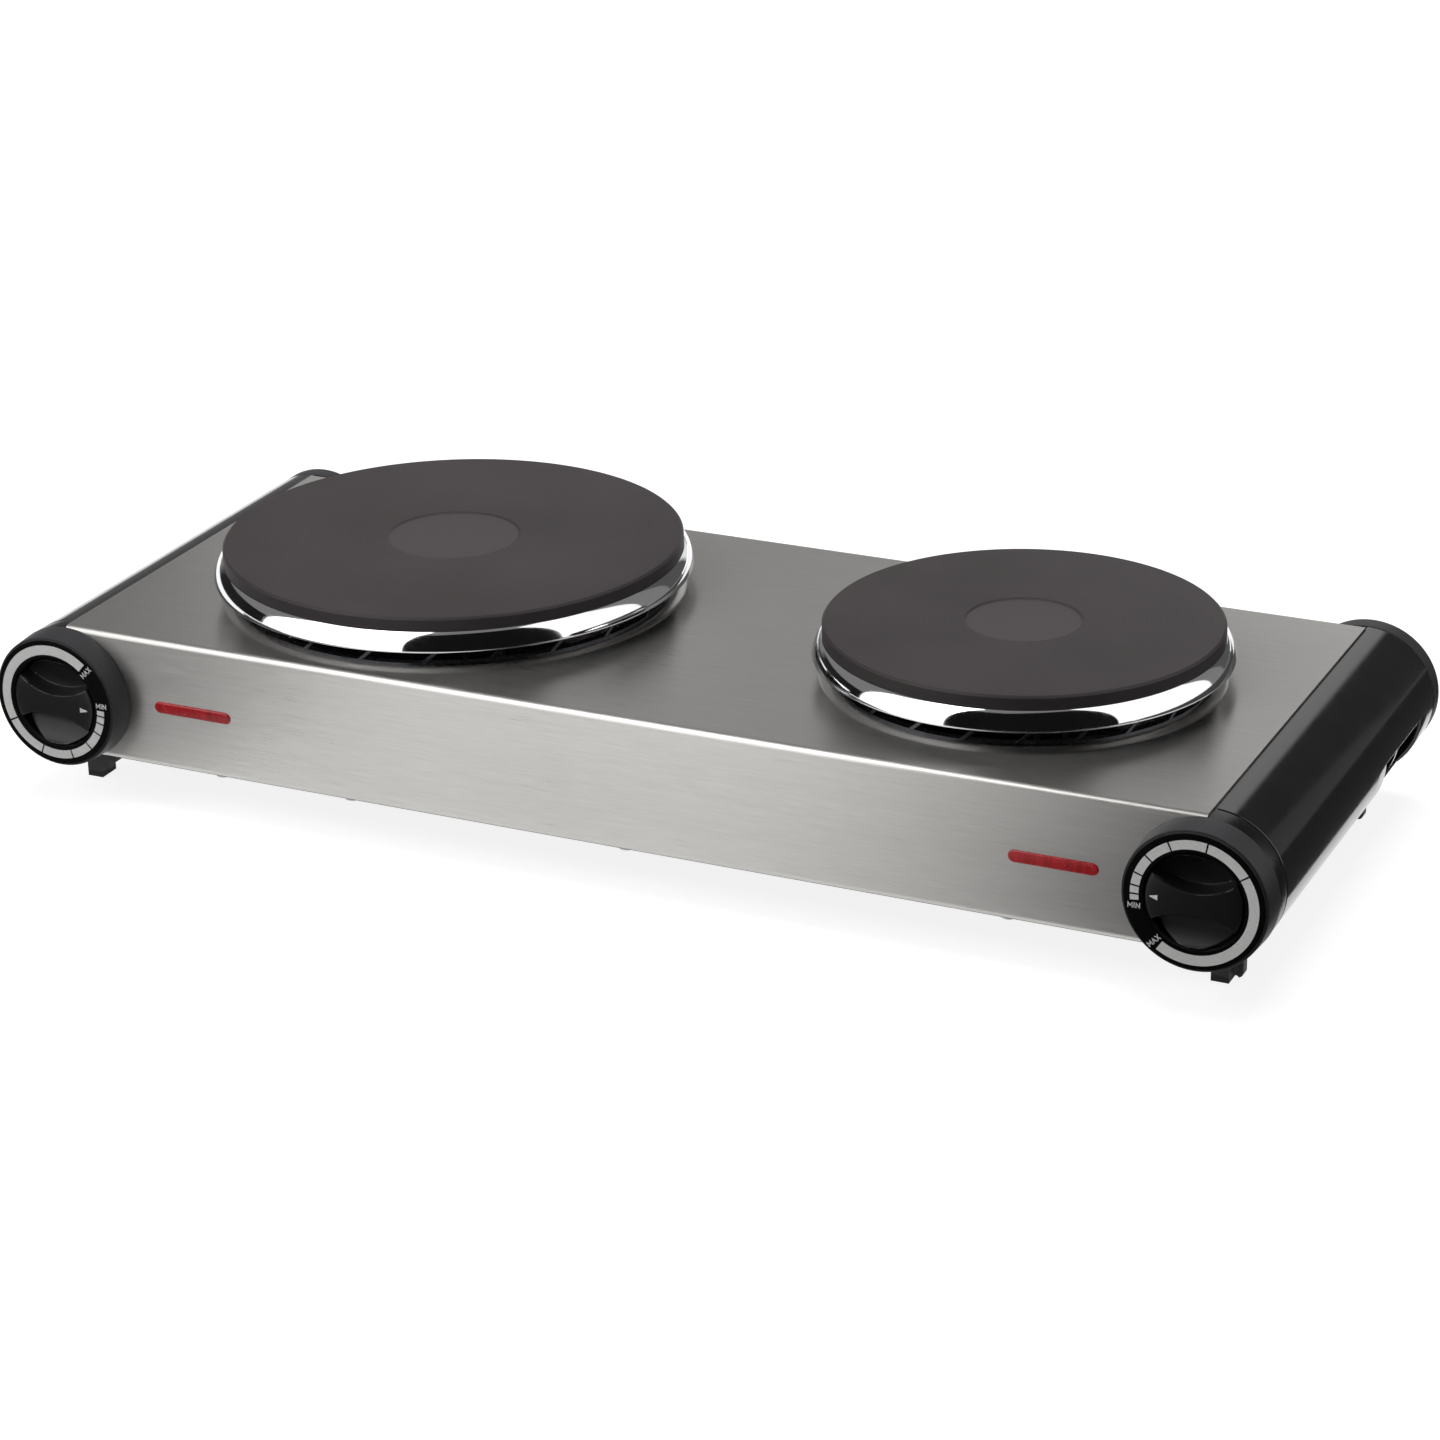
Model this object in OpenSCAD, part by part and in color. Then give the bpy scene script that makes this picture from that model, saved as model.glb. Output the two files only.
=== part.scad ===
// Double electric hot plate: folded steel housing, half-round end covers,
// two cast plates and two recessed dials. All sizes are in millimetres.
// X runs along the length, the dials face -Y and Z points up.
// The feet stand on z = 0 and the origin is the middle of the footprint.

/* [Housing] */
// Length of the folded steel housing, without the end covers
body_w = 484; // [474:1:540]
// Depth of the housing from front panel to rear panel
body_d = 198; // [198:1:230]
// Height of the housing
body_h = 55.5; // [53:0.5:62]
// Thickness of the sheet steel
sheet_t = 0.8; // [0.6:0.1:1]
// Outer radius of the long folds
fold_r = 2.4; // [1.8:0.1:2.8]
// Width of the flanges folded in under the housing
flange_w = 14; // [12:1:18]
// Clear height under the end covers
foot_h = 15.8; // [12:0.2:24]

/* [Hot plates] */
// Diameter of the large plate
large_d = 188; // [176:1:189]
// Diameter of the small plate
small_d = 155; // [140:1:165]
// Distance from the left end of the housing to the edge of the large plate
large_margin = 32; // [28:0.5:40]
// Distance from the right end of the housing to the edge of the small plate
small_margin = 30.5; // [28:0.5:40]
// Height of the cooking faces above the housing
plate_rise = 23; // [22:0.5:28]
// Height of the plate edge that stands above the trim ring
plate_edge_h = 7; // [5:0.5:8]
// Radius of the rounded upper edge of a plate
plate_round = 2.4; // [1:0.1:3]
// Full thickness of a plate casting
casting_h = 13; // [12.5:0.5:15]
// How far the body of a casting is set in from its edge
casting_inset = 6; // [5.5:0.5:8]
// Diameter of the shallow centre recess of the large plate
large_recess_d = 55; // [40:1:70]
// Diameter of the shallow centre recess of the small plate
small_recess_d = 46; // [36:1:60]
// Depth of the centre recesses
recess_depth = 0.6; // [0.3:0.1:1.2]

/* [Rings] */
// How far the rim of a trim ring stands out from its plate
ring_flare = 4.4; // [3.5:0.1:5]
// Height of that rim above the housing
rim_h = 10.3; // [9:0.1:12]
// Sheet thickness of the rings
ring_t = 0.8; // [0.6:0.1:1]
// Radius of the rolled edge at the rim
bead_r = 0.7; // [0.5:0.1:0.8]
// How far the wall of a support ring is set in from the plate edge
support_inset = 3; // [2.4:0.1:3.6]
// Number of slanted webs in each support ring
web_count = 22; // [16:1:26]
// Width of a web
web_w = 2; // [1.5:0.5:4]
// Sideways lean of a web from bottom to top
web_lean = 13; // [0:1:14]
// Height of the pressed collar under each ring
collar_h = 1.6; // [1.2:0.1:2]
// Width of the sloping side of the collar
collar_slope = 4.4; // [3:0.1:4.6]

/* [End covers] */
// Wall thickness of the plastic covers
cover_wall = 2.4; // [2:0.1:3]
// Thickness of the cover tongue under the housing
tongue_t = 1.7; // [1.4:0.1:2]
// Width of the tongues that hold a cover to the housing
tongue_w = 16; // [15:1:20]
// How far the covers pass the rear panel
cover_over = 2; // [1:0.5:4]
// Chamfer at both ends of a cover
cover_chamfer = 0.9; // [0.5:0.1:1.2]
// Length of the finger opening in a cover
grip_len = 49; // [40:1:60]
// Distance from the rear end of a cover to the finger opening
grip_end = 17; // [14:1:24]
// Height of the finger opening
grip_h = 20.5; // [16:0.5:22]
// Thickness of the stiffening ribs
rib_t = 2; // [1.5:0.5:3]
// Height of the stiffening ribs
rib_h = 8; // [5:1:9]

/* [Rear caps] */
// Thickness of a rear cap
cap_t = 9; // [7:0.5:12]
// Radius of the rear edge of a cap
cap_round = 2; // [1:0.5:3]
// Length of the half collar that plugs into a cover
cap_plug = 8; // [6:1:12]

/* [Dials] */
// Length of a bezel in front of the housing
drum_len = 12.5; // [11.5:0.5:16]
// How much larger the back of a bezel is than the cover radius
drum_over = 0.2; // [0:0.1:0.6]
// How much smaller the front face of a bezel is than its back, on the radius
drum_taper = 1.7; // [1:0.1:2.4]
// Radius of the front edge of a bezel
face_round = 1; // [0.5:0.1:1.2]
// Wall thickness of a bezel
bezel_wall = 2; // [1.6:0.1:2.4]
// Length of the glossy neck between bezel and cover
neck_len = 8; // [6:0.5:10]
// Radius of a knob
knob_r = 18.4; // [17:0.1:18.6]
// Gap round a knob
knob_gap = 0.8; // [0.5:0.1:1]
// How far a knob stands out of its bezel
knob_out = 1.5; // [0.5:0.1:3]
// Length of the side wall of a knob
knob_skirt = 8.2; // [7.6:0.1:8.4]
// Half width of the grip bar at its middle
bar_half = 4.5; // [4:0.1:6]
// Radius of the curved sides of the grip bar
bar_curve = 26.5; // [20:0.5:40]
// Radius of the trough floor beside the grip bar
scoop_r = 14; // [13:0.5:15]
// Radius of a dial shaft
shaft_r = 3; // [2.8:0.1:3.2]
// Running clearance of a shaft in its bush
shaft_play = 0.05; // [0.02:0.01:0.08]
// Inner radius of the printed scale
scale_r = 20.7; // [20.4:0.1:21]
// Width of the scale at its low end
scale_w_min = 3.3; // [2:0.1:3.6]
// Width of the scale at its high end
scale_w_max = 4.2; // [3.6:0.1:4.6]
// Thickness of the printed scale
scale_t = 0.15; // [0.1:0.05:0.3]
// Gap between two scale segments, in degrees
scale_gap = 1.2; // [0.6:0.1:2]
// Clockwise turn of the left scale from the right one, in degrees
left_scale_turn = 187.5; // [180:0.5:195]
// Clockwise turn of the left knob from the right one, in degrees
left_knob_turn = 183.5; // [178:0.5:190]

/* [Lamps] */
// Distance from the end of the housing to the middle of a lamp
lamp_inset = 58; // [50:1:70]
// Length of a lamp window
lamp_w = 35.4; // [24:0.1:44]
// Height of a lamp window
lamp_h = 5; // [4:0.1:7]
// Clearance of a lens in its window
lamp_gap = 0.1; // [0.05:0.05:0.3]
// How far a lens stands out of the front panel
lamp_out = 0.7; // [0.3:0.1:1.5]

/* [Feet and screws] */
// Distance from the front or rear panel to the middle of a foot
foot_inset = 20; // [18:1:34]
// Distance of a foot from the end of the housing
foot_out = 2; // [1:0.5:4]
// Thickness of the rubber pads
pad_t = 2.5; // [1.5:0.5:4]
// Radius of the screw shanks
screw_r = 1.5; // [1.2:0.1:1.8]
// Radius of the screw heads
head_r = 3.2; // [2.6:0.1:3.6]
// Height of the screw heads
head_h = 1.6; // [1:0.1:1.8]
// Clearance of a shank in a plain hole
screw_gap = 0.2; // [0.1:0.1:0.4]

/* [Cord inlet] */
// Radius of the cord hole
cord_r = 3.7; // [3:0.1:4.4]
// Radius of the inlet body in the rear panel
gland_r = 7; // [6.4:0.1:8]
// Height of the cord hole above the bottom of the housing
gland_up = 17; // [15:1:28]

/* [Hidden] */
$fn = 96;

// Small overlap that makes a cut run clean through a wall
eps = 0.01;
// Depth of a cut that only has to reach past a wall
past = 5;
LEFT = -1;
RIGHT = 1;
LARGE = 0;
SMALL = 1;

// Heights
cover_r = (body_h - sheet_t + tongue_t) / 2;
axis_z = foot_h + cover_r;
deck_z = axis_z + cover_r + sheet_t;
base_z = deck_z - body_h;
cook_z = deck_z + plate_rise;
edge_z = cook_z - plate_edge_h;
casting_z = cook_z - casting_h;
rim_z = deck_z + rim_h;
collar_z = deck_z + collar_h;
pan_z = casting_z - sheet_t;

// Depths, with the front panel at y = 0 until place() centres the part
knob_front = drum_len + knob_out;
cover_y0 = neck_len;
cover_y1 = body_d + cover_over;
cap_y1 = cover_y1 + cap_t;
mid_y = (cap_y1 - knob_front) / 2;
plate_y = body_d / 2;

// Plates
plate_r = [large_d / 2, small_d / 2];
plate_x = [-body_w / 2 + large_margin + plate_r[LARGE], body_w / 2 - small_margin - plate_r[SMALL]];
recess_r = [large_recess_d / 2, small_recess_d / 2];
// A trim ring starts just outside the edge of its plate
ring_start = 0.3;
function wall_r(i) = plate_r[i] - support_inset;
function casting_r(i) = plate_r[i] - casting_inset;
// Flat top of the collar beyond the wall of the support ring
collar_land = 0.6;
// Flat outer edge of the collar that lies in the deck
collar_lap = 0.4;
// Width of the foot flange of a support ring
support_foot = 4;
// Height of the wall between a flange and the slots
web_rail = 0.3;
function opening_r(i) = wall_r(i) - support_foot - collar_land;
function collar_r(i) = wall_r(i) + collar_land + collar_slope;

// Heating element
coil_wire_r = 1.5;
coil_first_r = 30;
coil_pitch = 16;
coil_gap_deg = 15;
groove_in_r = 24;
groove_wall = 4;
groove_h = 5;
fill_h = 1.8;
fill_gap = 0.1;
lead_r = 1.2;
lead_gap = 0.4;
function groove_out_r(i) = casting_r(i) - groove_wall;
function coil_turns(i) = floor((groove_out_r(i) - coil_wire_r - coil_first_r) / coil_pitch) + 1;
function coil_r(k) = coil_first_r + coil_pitch * k;
function last_coil_r(i) = coil_r(coil_turns(i) - 1);
// The free end of the outer turn lies on the side opposite to its link
function lead_deg(i) = coil_turns(i) % 2 == 0 ? coil_gap_deg : -coil_gap_deg;

// Plate fixing
stud_r = 3;
stud_gap = 0.3;
stud_up = 6;
bar_w = 20;
bar_t = 2.5;
bar_lip = 5;
bar_lip_t = 2;
bar_bearing = 3;
washer_r = 7;
washer_t = 1.2;
nut_r = 5.8;
nut_h = 5;
stud_tail = 3;
bar_z = collar_z - sheet_t - bar_t;
nut_z = bar_z - washer_t - nut_h;

// Terminal block under a plate
block_gap = 0.6;
block_l = 20;
block_w = 32;
block_h = pan_z - bar_z - bar_t - block_gap;
block_x = 24;
port_depth = 8;
port_gap = 0.4;

// Dials
dial_x = body_w / 2;
well_r = knob_r + knob_gap;
drum_r = cover_r + drum_over;
face_r = drum_r - drum_taper;
// Room round a shaft where it passes through the bezel floor
shaft_room = 0.6;
// Front face of the bezel floor and its thickness
floor_h = 3.2;
floor_t = 2.2;
knob_back = floor_h + knob_gap;
spigot_len = 6;
spigot_gap = 0.3;
spigot_r = well_r + bezel_wall;
hub_r = 6.5;
hub_depth = 7;
knob_wall = 2;
knob_cavity = 3.6;
flat_z = 2;
fit_gap = 0.05;
scale_marks = [188, 181, 172.4, 160, 140.4, 115, 78.6, 34.2, -124];

// Thermostat
bracket_t = 1.5;
bracket_y = flange_w + 2;
switch_y = bracket_y + bracket_t;
switch_w = 26;
switch_h = 22;
switch_len = 28;
bush_r = 5;
bush_len = 8;
bush_gap = 0.2;
shaft_depth = 18;
shaft_end_gap = 0.4;
leg_x0 = -30;
leg_x1 = -14;
foot_len = 15;
blade_w = 8;
blade_t = 0.6;
blade_stack = 4;
blade_set_back = 3;
blade_tail = 8;
blade_gap = 0.4;
contact_r = 2;
bracket_top = 14;

// Lamps
lamp_x = body_w / 2 - lamp_inset;
lens_flange = 2;
lens_flange_t = 1.6;
lens_depth = 10;
lens_wall = 1.5;
neon_gap = 0.5;
neon_r = (lamp_h + 2 * lens_flange) / 2 - lens_wall - neon_gap;
neon_len = 14;
neon_lead_r = 0.4;
neon_lead_in = 1.5;
clip_t = 1;

// Screws and feet
// Places of the bottom screws along the housing, as shares of its length
bottom_screw_at = [-0.364, -0.24, 0.012, 0.339];
bottom_screw_x = body_w * bottom_screw_at;
bottom_screw_y = 8;
cover_screw_in = 8;
cover_screw_y = 11;
foot_w = 7;
foot_d = 10;
foot_slot = 1.4;
foot_lobe = 0.8;
foot_round = 2;
foot_step_w = 3.6;
foot_step_h = 1.9;
boss_r = 4;
boss_h = 3;
screw_len = 7;

// Cord inlet
gland_x = (plate_x[LARGE] + plate_r[LARGE] + plate_x[SMALL] - plate_r[SMALL]) / 2;
gland_z = base_z + gland_up;
gland_flange = 3;
gland_flange_t = 3;
gland_body = 11;
gland_nut_t = 4;
mains_w = 30;
mains_d = 16;
mains_h = 14;
// Room for the cord between its inlet and the mains block
mains_gap = 21;
mains_y = body_d - gland_body - mains_gap - mains_d;
wire_r = 1.2;
corner_size = 3.6;
wire_up = 4;
wire_bend = 6;

// ---- helpers ----

// Puts the middle of the footprint on the origin
module place() { translate([0, -mid_y, 0]) children(); }
// Frame of one plate, z kept absolute
module at_plate(i) { place() translate([plate_x[i], plate_y, 0]) children(); }
// Frame of one dial axis: x points outwards at both ends
module at_end(s) {
    place() translate([s * dial_x, 0, axis_z]) mirror([s < 0 ? 1 : 0, 0, 0]) children();
}
// Frame of one dial, seen like the right one: the left dial is turned clockwise from it
module at_dial(s, left_turn = left_knob_turn) {
    place() translate([s * dial_x, 0, axis_z]) rotate([0, s < 0 ? left_turn : 0, 0]) children();
}
// Frame of one lamp, y = 0 at the front panel
module at_lamp(s) { place() translate([s * lamp_x, 0, axis_z]) children(); }
// Extrudes an x, z outline from y0 over len
module along_y(y0, len) {
    translate([0, y0 + len, 0]) rotate([90, 0, 0]) linear_extrude(len) children();
}
// Turns a radius, forward-distance outline about the Y axis
module turned_forward(angle = 360) { rotate([90, 0, 0]) rotate_extrude(angle = angle) children(); }
// Cylinder along Y from y0 over len
module rod_y(r, y0, len) { translate([0, y0, 0]) rotate([-90, 0, 0]) cylinder(r = r, h = len); }
// Rectangle with round corners
module round_rect(w, h, r) {
    translate([r, 0]) square([w - 2 * r, h]);
    translate([0, r]) square([w, h - 2 * r]);
    for (x = [r, w - r], y = [r, h - r]) translate([x, y]) circle(r);
}
// Slot outline with round ends, centred
module pill(w, h) {
    square([w - h, h], center = true);
    for (x = [-1, 1]) translate([x * (w - h) / 2, 0]) circle(h / 2);
}
// Half plane on the outer side of a dial axis
module outer_half(x = 0) { translate([x, -2 * cover_r]) square([2 * cover_r, 4 * cover_r]); }
// Straight wires through the given points, with a moulded corner piece at each turn
module wire(p) {
    n = len(p);
    for (i = [0:n - 2]) {
        length = norm(p[i + 1] - p[i]);
        dir = (p[i + 1] - p[i]) / length;
        start = i == 0 ? 0 : wire_r;
        end = i == n - 2 ? 0 : wire_r;
        translate(p[i] + dir * start) rotate([0, acos(dir[2]), atan2(dir[1], dir[0])])
            cylinder(r = wire_r, h = length - start - end, $fn = 24);
    }
    for (i = [1:n - 2]) translate(p[i]) cube(corner_size, center = true);
}
// Pan-head screw that points up, its head under z = 0
module screw_up(len) {
    cylinder(r = screw_r, h = len);
    translate([0, 0, -head_h]) cylinder(r = head_r, h = head_h);
}

// ---- housing ----

module sheet_section(inset, r) {
    translate([inset, base_z + inset]) round_rect(body_d - 2 * inset, body_h - 2 * inset, r);
}
module collar_section(i) {
    // Flat land, then an even slope down to the deck
    top = collar_z;
    r0 = opening_r(i);
    r1 = wall_r(i) + collar_land;
    steps = 8;
    upper = [for (k = [0:steps])
        [r1 + collar_slope * k / steps, top - collar_h * (1 - cos(180 * k / steps)) / 2]];
    lower = [for (k = [steps:-1:0]) upper[k] - [0, sheet_t]];
    edge = collar_r(i) + collar_lap;
    polygon(concat([[r0, top]], upper, [[edge, deck_z], [edge, deck_z - sheet_t]],
        lower, [[r0, top - sheet_t]]));
}
module housing_shell() {
    color("silver") place() difference() {
        union() {
            difference() {
                translate([-body_w / 2, 0, 0]) rotate([90, 0, 90]) linear_extrude(body_w) difference() {
                    sheet_section(0, fold_r);
                    sheet_section(sheet_t, fold_r - sheet_t);
                    translate([flange_w, base_z - eps]) square([body_d - 2 * flange_w, sheet_t + 2 * eps]);
                }
                for (i = [LARGE, SMALL])
                    translate([plate_x[i], plate_y, deck_z - past])
                        cylinder(r = collar_r(i) + collar_lap / 2, h = 2 * past);
            }
            for (i = [LARGE, SMALL]) translate([plate_x[i], plate_y, 0]) rotate_extrude() collar_section(i);
        }
        for (s = [LEFT, RIGHT]) {
            translate([s * dial_x, 0, axis_z]) rod_y(spigot_r + spigot_gap, -past, 2 * past);
            translate([s * lamp_x, 0, axis_z]) along_y(-past, 2 * past) pill(lamp_w, lamp_h);
        }
        for (x = bottom_screw_x, y = [bottom_screw_y, body_d - bottom_screw_y])
            translate([x, y, base_z - past]) cylinder(r = screw_r, h = 2 * past);
        for (s = [LEFT, RIGHT], y = [cover_screw_y, body_d - cover_screw_y])
            translate([s * (dial_x - cover_screw_in), y, base_z - past]) cylinder(r = screw_r, h = 2 * past);
        translate([gland_x, body_d, gland_z]) rod_y(gland_r, -past, 2 * past);
    }
}
module bottom_plate() {
    edge = 3;
    gap = 1;
    half = body_w / 2 - tongue_w - gap;
    slot_l = 60;
    slot_w = 5;
    slot_pitch = 13;
    color("dimgray") place() difference() {
        translate([-half, edge, base_z - sheet_t]) cube([2 * half, body_d - 2 * edge, sheet_t]);
        for (i = [LARGE, SMALL], k = [-3:3])
            translate([plate_x[i], plate_y + k * slot_pitch, base_z - past])
                linear_extrude(2 * past) pill(slot_l, slot_w);
        for (x = bottom_screw_x, y = [bottom_screw_y, body_d - bottom_screw_y])
            translate([x, y, base_z - past]) cylinder(r = screw_r + screw_gap, h = 2 * past);
        for (s = [LEFT, RIGHT])
            translate([s * (dial_x + bracket_screw_x()), bracket_screw_y(), base_z - past])
                cylinder(r = screw_r, h = 2 * past);
        translate([earth_x(), earth_y(), base_z - past]) cylinder(r = screw_r, h = 2 * past);
    }
}
module bottom_screws() {
    color("lightgray") place()
        for (x = bottom_screw_x, y = [bottom_screw_y, body_d - bottom_screw_y])
            translate([x, y, base_z - sheet_t]) screw_up(screw_len);
}

// ---- end covers ----

module cover_skin_section() {
    // Radius against distance along the cover
    r0 = cover_r - cover_wall;
    c = cover_chamfer;
    polygon([[r0, cover_y0], [cover_r - c, cover_y0], [cover_r, cover_y0 + c],
        [cover_r, cover_y1 - c], [cover_r - c, cover_y1], [r0, cover_y1]]);
}
module half_ring(r_in, r_out, y0, len) {
    along_y(y0, len) intersection() {
        difference() {
            circle(r_out);
            circle(r_in);
        }
        outer_half();
    }
}
grip_y1 = cover_y1 - grip_end;
grip_y0 = grip_y1 - grip_len;
grip_rib_y = (grip_y0 + grip_y1 - rib_t) / 2;
module end_cover(s) {
    tongue_y1 = body_d - sheet_t - 1;
    color("black") at_end(s) difference() {
        union() {
            // Half-round skin from top to bottom on the outer side
            rotate([-90, 0, 0]) rotate([0, 0, -90]) rotate_extrude(angle = 180) cover_skin_section();
            translate([-tongue_w, cover_y0, cover_r - cover_wall])
                cube([tongue_w + eps, tongue_y1 - cover_y0, cover_wall]);
            translate([-tongue_w, cover_y0, -cover_r]) cube([tongue_w + eps, tongue_y1 - cover_y0, tongue_t]);
            for (y = [body_d / 3, body_d / 2, grip_rib_y])
                half_ring(cover_r - cover_wall - rib_h, cover_r - cover_wall + eps, y, rib_t);
            for (y = [foot_inset, body_d - foot_inset]) intersection() {
                translate([foot_out, y, -cover_r]) cylinder(r = boss_r, h = cover_wall + boss_h);
                rod_y(cover_r - cover_wall + eps, y - past, 2 * past);
            }
        }
        translate([cover_r / 2, grip_y0, -grip_h - 0.5]) cube([cover_r, grip_len, grip_h]);
        for (y = [foot_inset, body_d - foot_inset])
            translate([foot_out, y, -cover_r - past]) cylinder(r = screw_r + screw_gap, h = 3 * past);
        for (y = [cover_screw_y, body_d - cover_screw_y])
            translate([-cover_screw_in, y, -cover_r - past]) cylinder(r = screw_r + screw_gap, h = 2 * past);
    }
}
module left_end_cover() { end_cover(LEFT); }
module right_end_cover() { end_cover(RIGHT); }
module cover_screws() {
    color("gray") for (s = [LEFT, RIGHT], y = [cover_screw_y, body_d - cover_screw_y])
        at_end(s) translate([-cover_screw_in, y, -cover_r]) screw_up(screw_len);
}

// ---- rear caps ----

module rear_cap(s) {
    cr = cap_round;
    wall = bezel_wall;
    plug_r = cover_r - cover_wall - screw_gap;
    color("dimgray") at_end(s) {
        translate([0, cover_y1, 0]) rotate([-90, 0, 0]) rotate_extrude() difference() {
            union() {
                square([cover_r, cap_t - cr]);
                square([cover_r - cr, cap_t]);
                translate([cover_r - cr, cap_t - cr]) circle(cr);
            }
            translate([-eps, -eps]) square([cover_r - cover_wall - wall + eps, cap_t - wall + eps]);
        }
        half_ring(plug_r - wall, plug_r, cover_y1 - cap_plug, cap_plug + eps);
        // Land that fills the space behind the rear panel
        mirror([1, 0, 0]) half_ring(plug_r - wall, cover_r - cover_wall / 2, body_d, cover_over + eps);
    }
}
module left_rear_cap() { rear_cap(LEFT); }
module right_rear_cap() { rear_cap(RIGHT); }

// ---- front bezels and dials ----

module bezel_section() {
    er = face_round;
    hollow_r = face_r - bezel_wall;
    steps = 4;
    rim = [for (k = [0:steps])
        [face_r - er + er * cos(90 * k / steps), drum_len - er + er * sin(90 * k / steps)]];
    difference() {
        polygon(concat([[0, 0], [drum_r, 0]], rim, [[0, drum_len]]));
        translate([spigot_r, -eps]) square([hollow_r - spigot_r, drum_len - bezel_wall]);
        translate([-eps, floor_h]) square([well_r + eps, drum_len]);
        translate([-eps, -eps]) square([well_r + eps, floor_h - floor_t + eps]);
        translate([-eps, -eps]) square([shaft_r + shaft_room + eps, drum_len]);
    }
}
module front_bezel(s) {
    color("black") at_end(s) {
        turned_forward() bezel_section();
        half_ring(cover_r - cover_wall, cover_r, -eps, neck_len + eps);
        along_y(-eps, spigot_len) difference() {
            circle(spigot_r);
            circle(well_r);
        }
    }
}
module left_front_bezel() { front_bezel(LEFT); }
module right_front_bezel() { front_bezel(RIGHT); }

// Outer radius of the scale grows evenly from the low end to the high end
scale_span = scale_marks[0] - scale_marks[len(scale_marks) - 1];
function scale_out_r(a) = scale_r + scale_w_min
    + (scale_w_max - scale_w_min) * (scale_marks[0] - a) / scale_span;
module dial_scale(s) {
    color("gainsboro") at_dial(s, left_scale_turn) for (k = [0:len(scale_marks) - 2]) {
        a0 = scale_marks[k] - scale_gap / 2;
        a1 = scale_marks[k + 1] + scale_gap / 2;
        steps = max(2, ceil((a0 - a1) / 5));
        a = [for (j = [0:steps]) a0 + (a1 - a0) * j / steps];
        along_y(-drum_len - scale_t, scale_t) polygon(concat(
            [for (v = a) scale_r * [cos(v), sin(v)]],
            [for (j = [steps:-1:0]) scale_out_r(a[j]) * [cos(a[j]), sin(a[j])]]));
    }
}
module left_dial_scale() { dial_scale(LEFT); }
module right_dial_scale() { dial_scale(RIGHT); }

module knob_section() {
    steps = 8;
    front = knob_back + knob_skirt;
    dome = [for (k = [0:steps])
        [knob_r * cos(90 * k / steps), front + (knob_front - front) * sin(90 * k / steps)]];
    polygon(concat([[0, knob_back], [knob_r, knob_back]], dome));
}
module knob(s) {
    color("black") at_dial(s) difference() {
        turned_forward() knob_section();
        // Two finger troughs leave a waisted bar across the middle
        for (m = [0, 1]) mirror([0, 0, m]) intersection() {
            translate([0, 0, bar_half + bar_curve]) rod_y(bar_curve, -knob_front - past, knob_front);
            translate([-2 * knob_r, -knob_front - scoop_r / 2, scoop_r / 2])
                rotate([0, 90, 0]) cylinder(r = scoop_r, h = 4 * knob_r);
        }
        // Hollow back round the hub
        along_y(-knob_back - knob_cavity, knob_cavity + past) difference() {
            circle(knob_r - knob_wall);
            circle(hub_r);
        }
        // Bore with a flat that keys the knob to its shaft
        along_y(-knob_back - hub_depth, hub_depth + past) intersection() {
            circle(shaft_r + fit_gap);
            translate([-shaft_r - 1, -shaft_r - 1]) square([2 * shaft_r + 2, shaft_r + 1 + flat_z + fit_gap]);
        }
    }
}
module left_knob() { knob(LEFT); }
module right_knob() { knob(RIGHT); }

module dial_shaft(s) {
    front = knob_back + hub_depth - fit_gap;
    color("silver") at_dial(s) difference() {
        rod_y(shaft_r, -front, front + switch_y + shaft_depth - shaft_end_gap);
        translate([-shaft_r - 1, -front - 1, flat_z]) cube([2 * shaft_r + 2, hub_depth + 1, shaft_r]);
    }
}
module left_dial_shaft() { dial_shaft(LEFT); }
module right_dial_shaft() { dial_shaft(RIGHT); }

// ---- thermostats ----

module thermostat_body(s) {
    color("wheat") at_end(s) difference() {
        union() {
            translate([-switch_w / 2, switch_y, -switch_h / 2]) cube([switch_w, switch_len, switch_h]);
            rod_y(bush_r, switch_y - bush_len, bush_len + eps);
        }
        rod_y(shaft_r + shaft_play, switch_y - bush_len - past, bush_len + past + shaft_depth);
    }
}
module left_thermostat_body() { thermostat_body(LEFT); }
module right_thermostat_body() { thermostat_body(RIGHT); }

function bracket_screw_x() = (leg_x0 + leg_x1) / 2;
function bracket_screw_y() = switch_y + foot_len / 2;
module thermostat_bracket(s) {
    low = base_z - axis_z;
    color("gray") at_end(s) difference() {
        union() {
            translate([leg_x0, bracket_y, -bracket_top])
                cube([switch_w / 2 - leg_x0, bracket_t, 2 * bracket_top]);
            translate([leg_x0, bracket_y, low]) cube([leg_x1 - leg_x0, bracket_t, -low]);
            translate([leg_x0, bracket_y, low]) cube([leg_x1 - leg_x0, bracket_t + foot_len, bracket_t]);
        }
        rod_y(bush_r + bush_gap, bracket_y - past, 2 * past);
        translate([bracket_screw_x(), bracket_screw_y(), low - past])
            cylinder(r = screw_r + screw_gap, h = 2 * past);
    }
}
module left_thermostat_bracket() { thermostat_bracket(LEFT); }
module right_thermostat_bracket() { thermostat_bracket(RIGHT); }
module bracket_screws() {
    color("lightgray") for (s = [LEFT, RIGHT]) at_end(s)
        translate([bracket_screw_x(), bracket_screw_y(), base_z - axis_z + bracket_t]) mirror([0, 0, 1])
            screw_up(bracket_t + sheet_t);
}

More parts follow.
